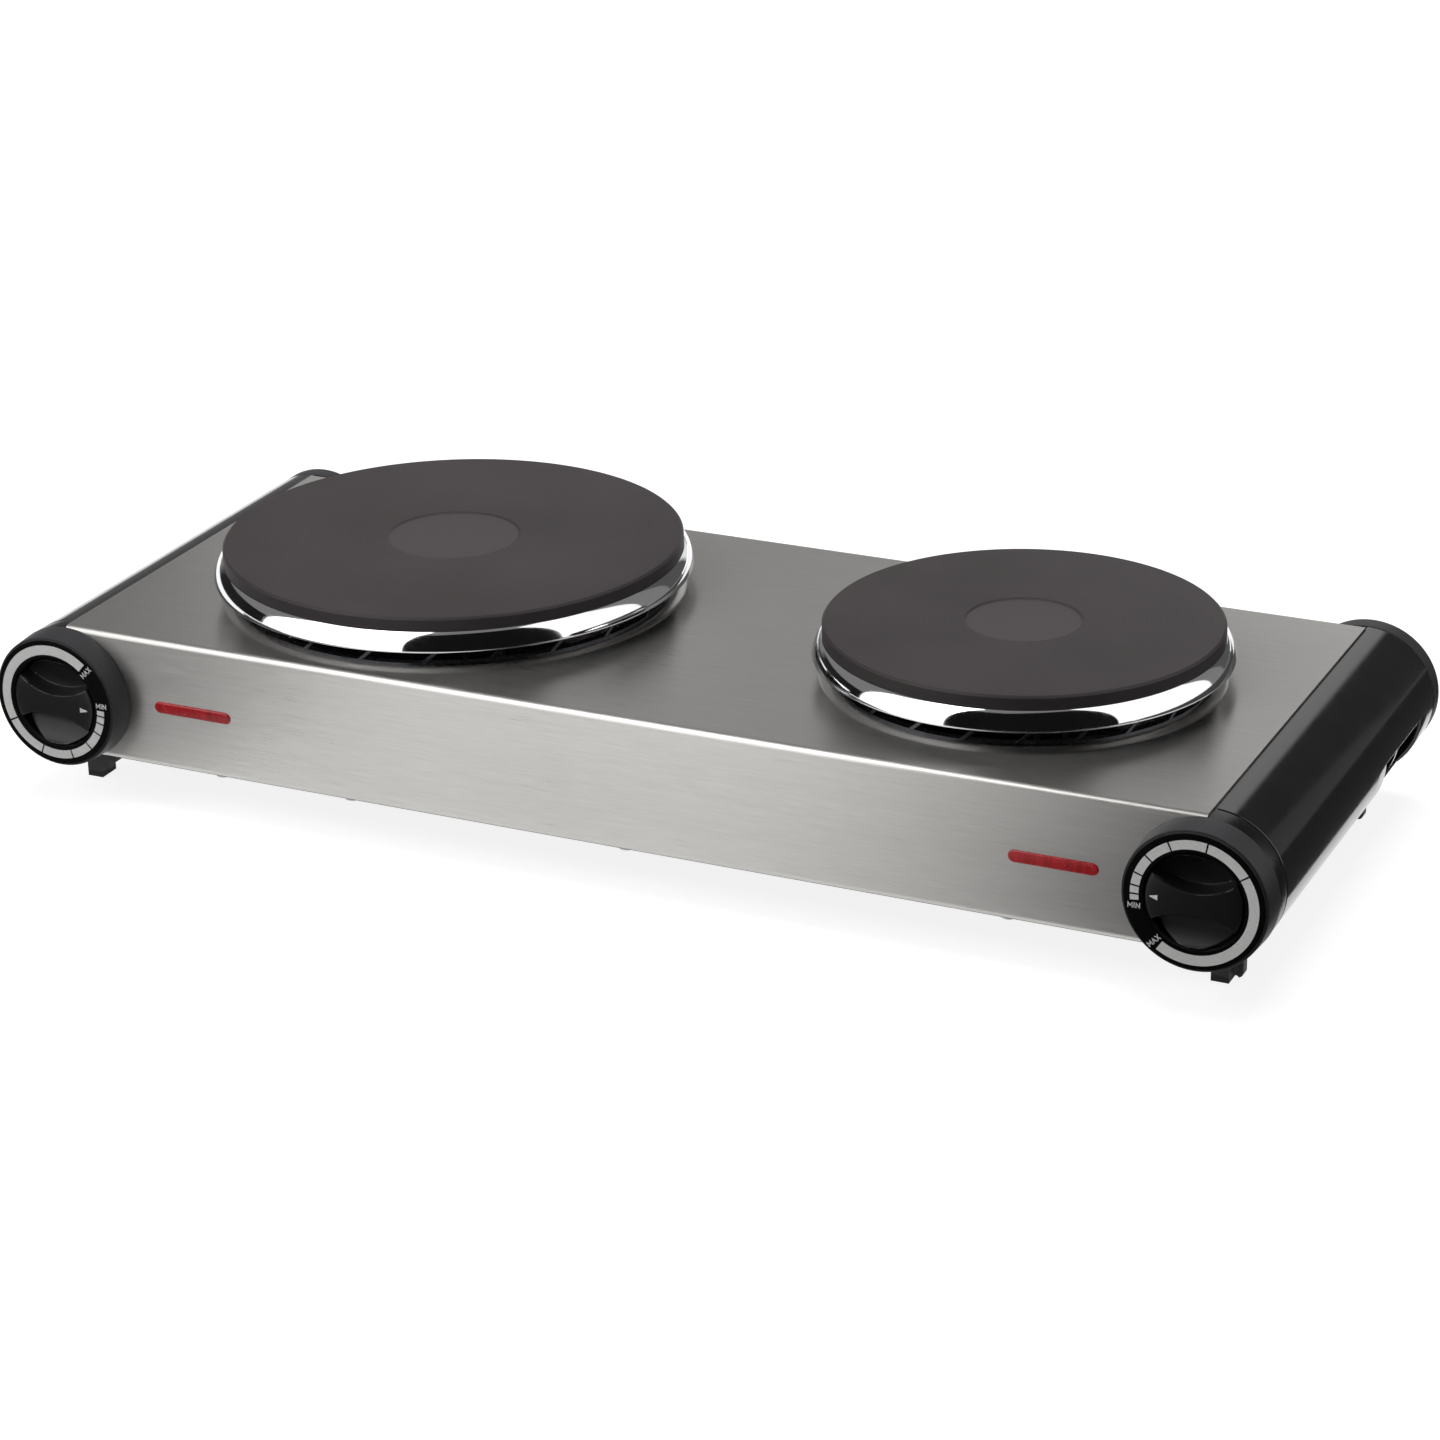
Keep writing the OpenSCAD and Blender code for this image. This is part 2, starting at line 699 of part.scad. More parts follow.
module bimetal_switch(s) {
    y0 = switch_y + blade_set_back;
    y1 = switch_y + switch_len + blade_tail;
    post_y = switch_y + switch_len - blade_w;
    color("peru") at_end(s) translate([0, 0, switch_h / 2]) {
        translate([-blade_w / 2, y0, 0]) cube([blade_w, y1 - y0, blade_t]);
        translate([-blade_w / 2, y0, blade_stack]) cube([blade_w, y1 - y0, blade_t]);
        translate([-blade_w / 2, post_y, 0]) cube([blade_w, blade_w, blade_stack + eps]);
        translate([0, y0 + blade_w / 2, 0]) cylinder(r = contact_r, h = blade_stack / 2);
        translate([0, y0 + blade_w / 2, blade_stack / 2 + blade_gap])
            cylinder(r = contact_r, h = blade_stack / 2);
    }
}
module left_bimetal_switch() { bimetal_switch(LEFT); }
module right_bimetal_switch() { bimetal_switch(RIGHT); }

// ---- pilot lamps ----

module lamp_lens(s) {
    w = lamp_w + 2 * lens_flange;
    h = lamp_h + 2 * lens_flange;
    color("red") at_lamp(s) {
        along_y(-lamp_out, lamp_out + sheet_t + eps) pill(lamp_w - 2 * lamp_gap, lamp_h - 2 * lamp_gap);
        along_y(sheet_t, lens_flange_t) pill(w, h);
        along_y(sheet_t + lens_flange_t - eps, lens_depth - lens_flange_t) difference() {
            pill(w - lens_wall, h - lens_wall / 2);
            pill(w - 3 * lens_wall, h - 2 * lens_wall);
        }
    }
}
module left_lamp_lens() { lamp_lens(LEFT); }
module right_lamp_lens() { lamp_lens(RIGHT); }
neon_y = sheet_t + lens_flange_t + neon_r + neon_gap;
clip_y = sheet_t + lens_depth;
lead_x = neon_len / 2 - neon_lead_in;
module neon_lamp(s) {
    color("orange") at_lamp(s) {
        translate([-neon_len / 2, neon_y, 0]) rotate([0, 90, 0]) cylinder(r = neon_r, h = neon_len);
        for (x = [-lead_x, lead_x]) translate([x, 0, 0])
            rod_y(neon_lead_r, neon_y, clip_y + lens_depth / 2 - neon_y);
    }
}
module left_neon_lamp() { neon_lamp(LEFT); }
module right_neon_lamp() { neon_lamp(RIGHT); }
module lamp_clips() {
    w = lamp_w + 2 * lens_flange;
    h = lamp_h + 2 * lens_flange;
    color("silver") for (s = [LEFT, RIGHT]) at_lamp(s) difference() {
        union() {
            translate([-w / 2 - clip_t, clip_y, -h / 2]) cube([w + 2 * clip_t, clip_t, h]);
            for (x = [-w / 2 - clip_t, w / 2])
                translate([x, sheet_t, -h / 4]) cube([clip_t, lens_depth + eps, h / 2]);
        }
        for (x = [-lead_x, lead_x]) translate([x, 0, 0]) rod_y(2 * neon_lead_r, clip_y - past, 2 * past);
    }
}

// ---- hot plates ----

module hot_plate(i) {
    r = plate_r[i];
    pr = plate_round;
    rr = recess_r[i];
    steps = 5;
    lip = [for (k = [0:steps]) [r - pr + pr * cos(90 * k / steps), cook_z - pr + pr * sin(90 * k / steps)]];
    color("dimgray") at_plate(i) difference() {
        rotate_extrude($fn = 180) polygon(concat(
            [[0, casting_z], [groove_in_r, casting_z], [groove_in_r, casting_z + groove_h],
                [groove_out_r(i), casting_z + groove_h], [groove_out_r(i), casting_z],
                [casting_r(i), casting_z], [casting_r(i), edge_z], [r, edge_z]],
            lip,
            [[rr + recess_depth, cook_z], [rr, cook_z - recess_depth], [0, cook_z - recess_depth]]));
        translate([0, 0, casting_z - eps]) cylinder(r = stud_r, h = stud_up + eps);
    }
}
module large_hot_plate() { hot_plate(LARGE); }
module small_hot_plate() { hot_plate(SMALL); }

module trim_ring(i) {
    r0 = plate_r[i] + ring_start;
    // The rolled edge stands out a little past the sheet it is rolled from
    w = ring_flare - ring_start - bead_r + ring_t / 2;
    h = edge_z - rim_z;
    steps = 10;
    outer = [for (k = [0:steps - 1]) [r0 + w * sin(90 * k / steps), rim_z + h * cos(90 * k / steps)]];
    inner = [for (k = [steps - 1:-1:0])
        [r0 + (w - ring_t) * sin(90 * k / steps), rim_z + (h - ring_t) * cos(90 * k / steps)]];
    bead = [for (a = [40:-20:-220]) [r0 + w - ring_t / 2 + bead_r * cos(a), rim_z + bead_r * sin(a)]];
    color("gainsboro") at_plate(i) rotate_extrude($fn = 180) polygon(concat(
        [[casting_r(i) + 0.4, edge_z]], outer, bead, inner, [[casting_r(i) + 0.4, edge_z - ring_t]]));
}
module large_trim_ring() { trim_ring(LARGE); }
module small_trim_ring() { trim_ring(SMALL); }

module support_ring(i) {
    r = wall_r(i);
    z0 = collar_z;
    z1 = edge_z - ring_t;
    slot_z0 = z0 + ring_t + web_rail;
    slot_z1 = z1 - ring_t - web_rail;
    pitch = 2 * r * sin(180 / web_count);
    half = (pitch - web_w) / 2;
    color("silver") at_plate(i) difference() {
        rotate_extrude($fn = 180) polygon([[r - support_foot, z0], [r, z0], [r, z1], [casting_r(i) + 0.6, z1],
            [casting_r(i) + 0.6, z1 - ring_t], [r - ring_t, z1 - ring_t],
            [r - ring_t, z0 + ring_t], [r - support_foot, z0 + ring_t]]);
        for (k = [0:web_count - 1]) rotate([0, 0, (k + 0.5) * 360 / web_count])
            translate([r - past, 0, 0]) rotate([90, 0, 90]) linear_extrude(2 * past)
                polygon([[-half - web_lean / 2, slot_z0], [half - web_lean / 2, slot_z0],
                    [half + web_lean / 2, slot_z1], [-half + web_lean / 2, slot_z1]]);
    }
}
module large_support_ring() { support_ring(LARGE); }
module small_support_ring() { support_ring(SMALL); }

module heating_coil(i) {
    n = coil_turns(i);
    z = casting_z + fill_h + coil_wire_r;
    rn = last_coil_r(i);
    run_z = pan_z - lead_r - 1;
    color("orangered") at_plate(i) difference() {
        union() {
            for (k = [0:n - 1]) rotate([0, 0, coil_gap_deg]) rotate_extrude(angle = 360 - 2 * coil_gap_deg)
                translate([coil_r(k), z]) circle(coil_wire_r, $fn = 24);
            if (n > 1) for (k = [0:n - 2]) rotate([0, 0, k % 2 == 0 ? -coil_gap_deg : coil_gap_deg]) {
                translate([coil_r(k), 0, z]) rotate([0, 90, 0])
                    cylinder(r = coil_wire_r, h = coil_pitch, $fn = 24);
                for (r = [coil_r(k), coil_r(k + 1)]) translate([r, 0, z]) sphere(coil_wire_r, $fn = 24);
            }
            // Leads drop through the pan, the outer one runs back to the terminal block
            rotate([0, 0, coil_gap_deg]) translate([coil_r(0), 0, pan_z]) {
                cylinder(r = lead_r, h = z - pan_z, $fn = 24);
                translate([0, 0, z - pan_z]) sphere(coil_wire_r, $fn = 24);
            }
            rotate([0, 0, lead_deg(i)]) {
                translate([rn, 0, run_z]) cylinder(r = lead_r, h = z - run_z, $fn = 24);
                translate([rn, 0, z]) sphere(coil_wire_r, $fn = 24);
                translate([rn, 0, run_z]) sphere(lead_r, $fn = 24);
                translate([block_x, 0, run_z]) rotate([0, 90, 0])
                    cylinder(r = lead_r, h = rn - block_x, $fn = 24);
            }
        }
        translate([0, -block_w / 2, pan_z - block_h]) cube([block_x + block_l, block_w, block_h]);
    }
}
module large_heating_coil() { heating_coil(LARGE); }
module small_heating_coil() { heating_coil(SMALL); }
// Holes for the two leads through a disc
module lead_holes(i, r) {
    for (p = [[coil_gap_deg, coil_r(0)], [lead_deg(i), last_coil_r(i)]])
        rotate([0, 0, p[0]]) translate([p[1], 0, casting_z - past]) cylinder(r = r, h = 2 * past, $fn = 24);
}
module insulation(i) {
    color("white") at_plate(i) difference() {
        translate([0, 0, casting_z]) cylinder(r = groove_out_r(i) - fill_gap, h = fill_h);
        translate([0, 0, casting_z - past]) cylinder(r = groove_in_r + fill_gap, h = 2 * past);
        lead_holes(i, lead_r + lead_gap);
    }
}
module large_insulation() { insulation(LARGE); }
module small_insulation() { insulation(SMALL); }
module base_pan(i) {
    color("slategray") at_plate(i) difference() {
        translate([0, 0, pan_z]) cylinder(r = casting_r(i) - 1, h = sheet_t);
        translate([0, 0, pan_z - past]) cylinder(r = stud_r + stud_gap, h = 2 * past);
        lead_holes(i, lead_r + 2 * lead_gap);
    }
}
module large_base_pan() { base_pan(LARGE); }
module small_base_pan() { base_pan(SMALL); }

module centre_stud(i) {
    low = nut_z - stud_tail;
    color("silver") at_plate(i) translate([0, 0, low]) cylinder(r = stud_r, h = casting_z + stud_up - low);
}
module large_centre_stud() { centre_stud(LARGE); }
module small_centre_stud() { centre_stud(SMALL); }
module clamp_bar(i) {
    half = opening_r(i) + bar_bearing;
    color("gray") at_plate(i) difference() {
        union() {
            translate([-half, -bar_w / 2, bar_z]) cube([2 * half, bar_w, bar_t]);
            for (y = [-bar_w / 2, bar_w / 2 - bar_lip_t])
                translate([-half, y, bar_z - bar_lip]) cube([2 * half, bar_lip_t, bar_lip + eps]);
        }
        translate([0, 0, bar_z - past]) cylinder(r = stud_r + stud_gap, h = 3 * past);
    }
}
module large_clamp_bar() { clamp_bar(LARGE); }
module small_clamp_bar() { clamp_bar(SMALL); }
module clamp_nuts() {
    color("silver") for (i = [LARGE, SMALL]) at_plate(i) difference() {
        union() {
            translate([0, 0, bar_z - washer_t]) cylinder(r = washer_r, h = washer_t);
            translate([0, 0, nut_z]) cylinder(r = nut_r, h = nut_h + eps, $fn = 6);
        }
        translate([0, 0, nut_z - past]) cylinder(r = stud_r, h = nut_h + 2 * past);
    }
}
module terminal_block(i) {
    color("ivory") at_plate(i) difference() {
        translate([block_x, -block_w / 2, pan_z - block_h]) cube([block_l, block_w, block_h]);
        // Wire entries on the side that faces the middle
        for (y = [-block_w / 4, block_w / 4])
            translate([block_x - eps, y, pan_z - block_h / 2]) rotate([0, 90, 0])
                cylinder(r = wire_r + port_gap, h = port_depth + eps);
    }
}
module large_terminal_block() { terminal_block(LARGE); }
module small_terminal_block() { terminal_block(SMALL); }

// ---- mains entry ----

module cord_inlet_gland() {
    color("black") place() translate([gland_x, body_d, gland_z]) difference() {
        union() {
            rod_y(gland_r + gland_flange, 0, gland_flange_t);
            rod_y(gland_r, -gland_body, gland_body + eps);
        }
        rod_y(cord_r, -gland_body - past, gland_body + gland_flange_t + 2 * past);
    }
}
module gland_nut() {
    color("black") place() translate([gland_x, body_d - sheet_t - gland_nut_t, gland_z]) difference() {
        rotate([-90, 0, 0]) cylinder(r = gland_r + gland_flange, h = gland_nut_t, $fn = 6);
        rod_y(gland_r, -past, gland_nut_t + 2 * past);
    }
}
module mains_terminal_block() {
    color("ivory") place() difference() {
        translate([gland_x - mains_w / 2, mains_y, base_z]) cube([mains_w, mains_d, mains_h]);
        for (k = [-1:1]) translate([gland_x + k * mains_w / 3, mains_y + mains_d / 2, base_z + mains_h / 2])
            cylinder(r = 2.5, h = mains_h);
    }
}
function earth_x() = gland_x + mains_w;
function earth_y() = mains_y + mains_d;
module earth_screw() {
    color("goldenrod") place() translate([earth_x(), earth_y(), base_z]) {
        cylinder(r = 2 * head_r, h = sheet_t);
        mirror([0, 0, 1]) translate([0, 0, -sheet_t]) screw_up(2 * sheet_t);
    }
}

// Each route starts at the mains block, serves the thermostat and ends at its plate
module wiring(s, i) {
    lane = base_z + sheet_t + wire_up;
    side = gland_x + s * mains_w / 2;
    supply_y = mains_y + mains_d * 3 / 4;
    return_y = mains_y + mains_d / 4;
    lane_x = s * (dial_x + leg_x0 - wire_bend);
    supply_x = s * (dial_x - switch_w * 3 / 8);
    load_x = s * (dial_x - switch_w / 8);
    load_z = axis_z - switch_h / 4;
    plug_y = switch_y + switch_len;
    supply_turn = plug_y + 3 * wire_bend;
    load_turn = supply_turn + wire_bend;
    block_z = pan_z - block_h / 2;
    port_x = plate_x[i] + block_x + port_depth;
    port_y = block_w / 4;
    turn_x = plate_x[i] + block_x / 2;
    turn_y = bar_w / 2 + wire_bend;
    color("firebrick") place() {
        // Mains to thermostat
        wire([[side, supply_y, lane], [lane_x, supply_y, lane], [supply_x, supply_turn, lane],
            [supply_x, supply_turn, axis_z], [supply_x, plug_y, axis_z]]);
        // Thermostat to plate
        wire([[load_x, plug_y, load_z], [load_x, load_turn, load_z], [turn_x, plate_y - turn_y, load_z],
            [turn_x, plate_y - turn_y, block_z], [turn_x, plate_y - port_y, block_z],
            [port_x, plate_y - port_y, block_z]]);
        // Mains to plate
        wire([[side, return_y, lane], [side + s * 2 * wire_bend, return_y, lane],
            [turn_x, plate_y + turn_y, lane], [turn_x, plate_y + turn_y, block_z],
            [turn_x, plate_y + port_y, block_z], [port_x, plate_y + port_y, block_z]]);
    }
}
module left_wiring() { wiring(LEFT, LARGE); }
module right_wiring() { wiring(RIGHT, SMALL); }

// ---- feet ----

// Stepped outline of a foot across its width, x outwards, from the pad up
module foot_outline() {
    low = -axis_z + pad_t;
    top = -cover_r + 4;
    inner = foot_out - foot_w / 2;
    translate([inner, low]) square([foot_w, top - low]);
    for (k = [1:2]) translate([inner - k * foot_step_w, low + (2 * k - 1) * foot_step_h])
        square([k * foot_step_w + eps, top - low - (2 * k - 1) * foot_step_h]);
}
// Rear prong with a rounded outer corner
module foot_lobe_outline() {
    low = -axis_z + pad_t;
    top = -cover_r + 4;
    inner = foot_out - foot_w / 2;
    outer = foot_out + foot_w / 2 + foot_lobe;
    translate([inner, low]) square([outer - foot_round - inner, top - low]);
    translate([inner, low + foot_round]) square([outer - inner, top - low - foot_round]);
    translate([outer - foot_round, low + foot_round]) circle(foot_round);
}
// Outline of what lies above a foot: the half-round cover and its flat tongue
module cover_outline() {
    intersection() {
        circle(cover_r);
        outer_half(-eps);
    }
    translate([-2 * tongue_w, -cover_r]) square([2 * tongue_w, cover_r]);
}
module foot(s, y, back) {
    color("black") at_end(s) translate([0, y, 0]) mirror([0, back ? 1 : 0, 0]) difference() {
        union() {
            along_y(-foot_d / 2, foot_d / 2 - foot_slot / 2) foot_outline();
            along_y(foot_slot / 2, foot_d / 2 - foot_slot / 2) foot_lobe_outline();
            // Web between the two prongs, closed towards the middle of the housing
            along_y(-foot_slot, 2 * foot_slot) translate([foot_out - foot_w / 2, -axis_z + pad_t])
                square([foot_w / 2 + screw_r + 1, foot_h]);
        }
        along_y(-foot_d, 2 * foot_d) cover_outline();
        translate([foot_out, 0, -cover_r - foot_h / 2]) cylinder(r = screw_r, h = foot_h);
    }
}
module foot_front_left() { foot(LEFT, foot_inset, false); }
module foot_front_right() { foot(RIGHT, foot_inset, false); }
module foot_rear_left() { foot(LEFT, body_d - foot_inset, true); }
module foot_rear_right() { foot(RIGHT, body_d - foot_inset, true); }
module foot_pads() {
    color("dimgray") for (s = [LEFT, RIGHT], y = [foot_inset, body_d - foot_inset])
        at_end(s) translate([foot_out - foot_w / 2, y - foot_d / 2, -axis_z]) cube([foot_w, foot_d, pad_t]);
}
module foot_screws() {
    seat = -cover_r + cover_wall + boss_h;
    len = cover_wall + boss_h + foot_h / 2 - 1;
    color("lightgray") for (s = [LEFT, RIGHT], y = [foot_inset, body_d - foot_inset])
        at_end(s) translate([foot_out, y, seat]) mirror([0, 0, 1]) screw_up(len);
}

// ---- nodes ----

housing_shell();
bottom_plate();
left_end_cover();
right_end_cover();
left_front_bezel();
right_front_bezel();
left_dial_scale();
right_dial_scale();
left_rear_cap();
right_rear_cap();
left_lamp_lens();
right_lamp_lens();
left_neon_lamp();
right_neon_lamp();
lamp_clips();
large_hot_plate();
small_hot_plate();
large_trim_ring();
small_trim_ring();
large_support_ring();
small_support_ring();
large_heating_coil();
small_heating_coil();
large_insulation();
small_insulation();
large_base_pan();
small_base_pan();
large_centre_stud();
small_centre_stud();
large_clamp_bar();
small_clamp_bar();
clamp_nuts();
large_terminal_block();
small_terminal_block();
left_thermostat_body();
right_thermostat_body();
left_thermostat_bracket();
right_thermostat_bracket();
left_bimetal_switch();
right_bimetal_switch();
bracket_screws();
mains_terminal_block();
earth_screw();
cord_inlet_gland();
gland_nut();
foot_front_left();
foot_front_right();
foot_rear_left();
foot_rear_right();
foot_pads();
foot_screws();
bottom_screws();
cover_screws();
left_wiring();
right_wiring();
left_knob();
right_knob();
left_dial_shaft();
right_dial_shaft();
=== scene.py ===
# %% [markdown]
# # Dressing a double hot plate
# The solids of this appliance are already modelled to size in CAD. Here Blender gives them
# the look of the real thing: brushed steel, cast iron, chrome and black plastic. Plain hidden
# pieces keep their CAD mesh and only get a finish. Pieces that catch the light are built again
# with finer, evenly spaced faces, because long thin CAD triangles shade badly on glossy skin.

# %% Load the frame
import math

import bmesh
import bpy
import numpy as np
from mathutils import Matrix, Vector


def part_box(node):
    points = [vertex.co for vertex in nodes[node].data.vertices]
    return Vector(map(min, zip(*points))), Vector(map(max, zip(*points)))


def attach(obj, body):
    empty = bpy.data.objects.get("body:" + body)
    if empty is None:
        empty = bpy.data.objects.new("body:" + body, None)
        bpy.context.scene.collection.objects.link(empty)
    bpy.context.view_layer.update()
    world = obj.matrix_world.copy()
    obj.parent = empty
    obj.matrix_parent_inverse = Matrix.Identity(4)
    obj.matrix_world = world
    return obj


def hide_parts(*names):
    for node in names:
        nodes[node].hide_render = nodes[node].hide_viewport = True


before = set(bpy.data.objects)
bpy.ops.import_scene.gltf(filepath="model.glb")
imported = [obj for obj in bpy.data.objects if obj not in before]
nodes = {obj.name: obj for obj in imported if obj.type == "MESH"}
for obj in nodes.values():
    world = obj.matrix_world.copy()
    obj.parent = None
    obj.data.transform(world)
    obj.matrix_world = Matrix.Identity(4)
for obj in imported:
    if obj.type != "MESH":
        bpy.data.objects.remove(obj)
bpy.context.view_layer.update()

# %% [markdown]
# ## Measure the appliance
# Sizes could be typed in again, but then they drift apart from the solids. So the planes, axes
# and radii that pieces share are read from the solids' boxes. Only small sizes that no box
# shows, such as the thickness of a sheet, are written in millimetres.

# %% Read the main planes and axes
MM = 0.001
SHEET = 0.8 * MM
OUT = {"left": -1, "right": 1}  # which way X points outwards at each end
shell_low, shell_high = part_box("housing_shell")
front_y, rear_y = shell_low.y, shell_high.y
cover_low, cover_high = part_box("right_end_cover")
deck_z = cover_high.z + SHEET
knob_low, knob_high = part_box("right_knob")
dial_x = (knob_low.x + knob_high.x) / 2
axis_z = (knob_low.z + knob_high.z) / 2
cover_r = cover_high.z - axis_z
print(f"deck {deck_z / MM:.2f}  dial axis x {dial_x / MM:.2f} z {axis_z / MM:.2f}")
print(f"cover radius {cover_r / MM:.2f}  housing depth {(rear_y - front_y) / MM:.2f}")

# %% Read the plates
RECESS_R = {"large": 27.5, "small": 23.0}  # shallow recess at the centre, in millimetres


def plate_sizes(node):
    low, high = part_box(node)
    centre = Vector(((low.x + high.x) / 2, (low.y + high.y) / 2, 0))
    return centre, (high.y - low.y) / 2, high.z


plates = {size: plate_sizes(f"{size}_hot_plate") for size in RECESS_R}
for size, (centre, radius, top) in plates.items():
    print(f"{size} plate: centre x {centre.x / MM:.1f}  radius {radius / MM:.2f}  top {top / MM:.2f}")

# %% [markdown]
# ## Helpers for making meshes
# Most visible pieces are turned or lofted. Modifiers could spin a profile too, but plain lists
# of points let each outline be given in real sizes and keep every row of faces even. One helper
# rounds the corners of an outline, one turns it about an axis and one stacks loops. Rounded
# corners matter more than any material: no real edge is sharp, and its small radius draws a
# bright line. The last helper copies a CAD mesh and eases its edges.


# %% Make an object that rides on a body
CRISP = 30  # degrees between faces above which the edge of a moulding stays hard


def smooth(mesh, sharp):
    """Smooth shading, with hard edges only where faces meet at more than sharp degrees."""
    mesh.polygons.foreach_set("use_smooth", [True] * len(mesh.polygons))
    mesh.set_sharp_from_angle(angle=math.radians(sharp))


def placed(name, data):
    """A new object, put in the scene."""
    thing = bpy.data.objects.new(name, data)
    bpy.context.scene.collection.objects.link(thing)
    return thing


def add_piece(name, verts, faces, body, finish, replaces=(), sharp=38):
    mesh = bpy.data.meshes.new(name)
    mesh.from_pydata([tuple(v) for v in verts], [], faces)
    work = bmesh.new()
    work.from_mesh(mesh)
    bmesh.ops.remove_doubles(work, verts=work.verts, dist=1e-7)
    bmesh.ops.recalc_face_normals(work, faces=work.faces)
    work.to_mesh(mesh)
    work.free()
    smooth(mesh, sharp)
    piece = placed(name, mesh)
    piece.data.materials.append(finish)
    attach(piece, body)
    if replaces:
        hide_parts(*replaces)
    print(f"{name}: {len(mesh.polygons)} faces on {body}")
    return piece


print("each new piece will name itself, its faces and its body")


# %% Round the corners of an outline
def rounded(corners, steps=6):
    """corners are (a, b, fillet) in millimetres; each fillet becomes a short even curve."""
    points = []
    count = len(corners)
    for i, (a, b, fillet) in enumerate(corners):
        here = Vector((a, b))
        if fillet <= 0:
            points.append(here)
            continue
        before = Vector(corners[i - 1][:2]) - here
        after = Vector(corners[(i + 1) % count][:2]) - here
        half = before.angle(after) / 2
        back = min(fillet / math.tan(half), before.length * 0.49, after.length * 0.49)
        start, end = here + before.normalized() * back, here + after.normalized() * back
        for k in range(steps + 1):
            t = k / steps
            points.append(start * (1 - t) ** 2 + here * 2 * t * (1 - t) + end * t**2)
    return [p * MM for p in points]


print("points of a rounded square:", len(rounded([(0, 0, 1), (9, 0, 1), (9, 9, 1), (0, 9, 1)])))


# %% Turn an outline about an upright or a forward axis
def turned(outline, centre, forward=False, steps=192, start=0.0, sweep=360.0):
    """outline holds (radius, height) pairs; forward turns about -Y instead of +Z."""
    whole = abs(sweep - 360) < 1e-6
    rows = steps if whole else steps + 1
    verts, faces = [], []
    for i in range(rows):
        angle = math.radians(start + sweep * i / steps)
        for r, h in outline:
            if forward:
                spot = Vector((r * math.cos(angle), -h, r * math.sin(angle)))
            else:
                spot = Vector((r * math.cos(angle), r * math.sin(angle), h))
            verts.append(centre + spot)
    n = len(outline)
    for i in range(steps):
        j = (i + 1) % rows
        for k in range(n):
            m = (k + 1) % n
            faces.append((i * n + k, i * n + m, j * n + m, j * n + k))
    if not whole:
        faces.append(tuple(range(n)))
        faces.append(tuple(range(steps * n, steps * n + n)))
    return verts, faces


square = [(1, 0), (2, 0), (2, 1), (1, 1)]
print("faces of a whole and a half ring:", *(len(turned(square, Vector(), sweep=s)[1]) for s in (360, 180)))


# %% Stack loops into a solid, and join several solids
def stacked(loops):
    verts = [p for loop in loops for p in loop]
    n = len(loops[0])
    faces = [tuple(range(n)), tuple(range((len(loops) - 1) * n, len(loops) * n))]
    for i in range(len(loops) - 1):
        for k in range(n):
            m = (k + 1) % n
            faces.append((i * n + k, i * n + m, (i + 1) * n + m, (i + 1) * n + k))
    return verts, faces


def joined(*solids):
    verts, faces = [], []
    for more_verts, more_faces in solids:
        shift = len(verts)
        verts += list(more_verts)
        faces += [tuple(i + shift for i in face) for face in more_faces]
    return verts, faces


def block(low, high):
    (x0, y0, z0), (x1, y1, z1) = low, high
    corners = [(x0, y0), (x1, y0), (x1, y1), (x0, y1)]
    return stacked([[Vector((x, y, z)) for x, y in corners] for z in (z0, z1)])


print("faces of a block:", len(block((0, 0, 0), (1, 1, 1))[1]))


# %% Copy a CAD mesh with its edges eased
def clean_copy(mesh):
    """A copy without doubled corners or the CAD tool's triangles on flat faces."""
    copy = mesh.copy()
    work = bmesh.new()
    work.from_mesh(copy)
    bmesh.ops.remove_doubles(work, verts=work.verts, dist=1e-6)
    bmesh.ops.dissolve_limit(work, angle_limit=math.radians(0.6), verts=work.verts, edges=work.edges)
    work.to_mesh(copy)
    work.free()
    copy.materials.clear()
    return copy


def ease_edges(piece, width, segments, sharp):
    bevel = piece.modifiers.new("Eased edges", "BEVEL")
    bevel.width = width * MM
    bevel.segments = segments
    bevel.limit_method = "ANGLE"
    bevel.angle_limit = math.radians(sharp)
    return bevel


def eased_copy(node, body, finish, name, ease):
    """A new object that stands for the node, with even shading and edges eased by ease."""
    mesh = clean_copy(nodes[node].data)
    mesh.materials.append(finish)
    smooth(mesh, CRISP)
    piece = placed(name, mesh)
    if ease > 0:
        bevel = ease_edges(piece, ease, 2, CRISP)
        bevel.harden_normals = True
    weigh = piece.modifiers.new("Even shading", "WEIGHTED_NORMAL")
    weigh.keep_sharp = True
    weigh.weight = 100
    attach(piece, body)
    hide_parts(node)
    print(f"{name}: {len(mesh.polygons)} faces, edges eased by {ease} mm")
    return piece


print("housing in CAD:", len(nodes["housing_shell"].data.polygons), "faces")

# %% [markdown]
# ## Finishes
# A finish is more than a colour. Each one below starts from the colour as seen, then adds the
# small changes that the real surface has: brushing, casting grain, moulding texture or wear.
# Image textures could hold these, but patterns made from noise need no unwrapping. They are
# driven by object coordinates in metres, so their scale is real.


# %% Colours
def to_linear(level):
    share = level / 255
    return ((share + 0.055) / 1.055) ** 2.4 if level > 10 else share / 12.92


def seen(red, green, blue):
    """A colour as seen on screen, 0 to 255, turned into the linear value that shaders use."""
    return (to_linear(red), to_linear(green), to_linear(blue), 1.0)


def toned(shade, share):
    """The same colour, darker or lighter."""
    return tuple(c * share for c in shade[:3]) + (1.0,)


print("half grey on screen is", round(seen(128, 128, 128)[0], 3), "in a shader")


# %% Start a finish
MIX_FIRST, MIX_SECOND, MIX_COLOUR = 6, 7, 2  # the colour sockets of a Mix node have numbers only


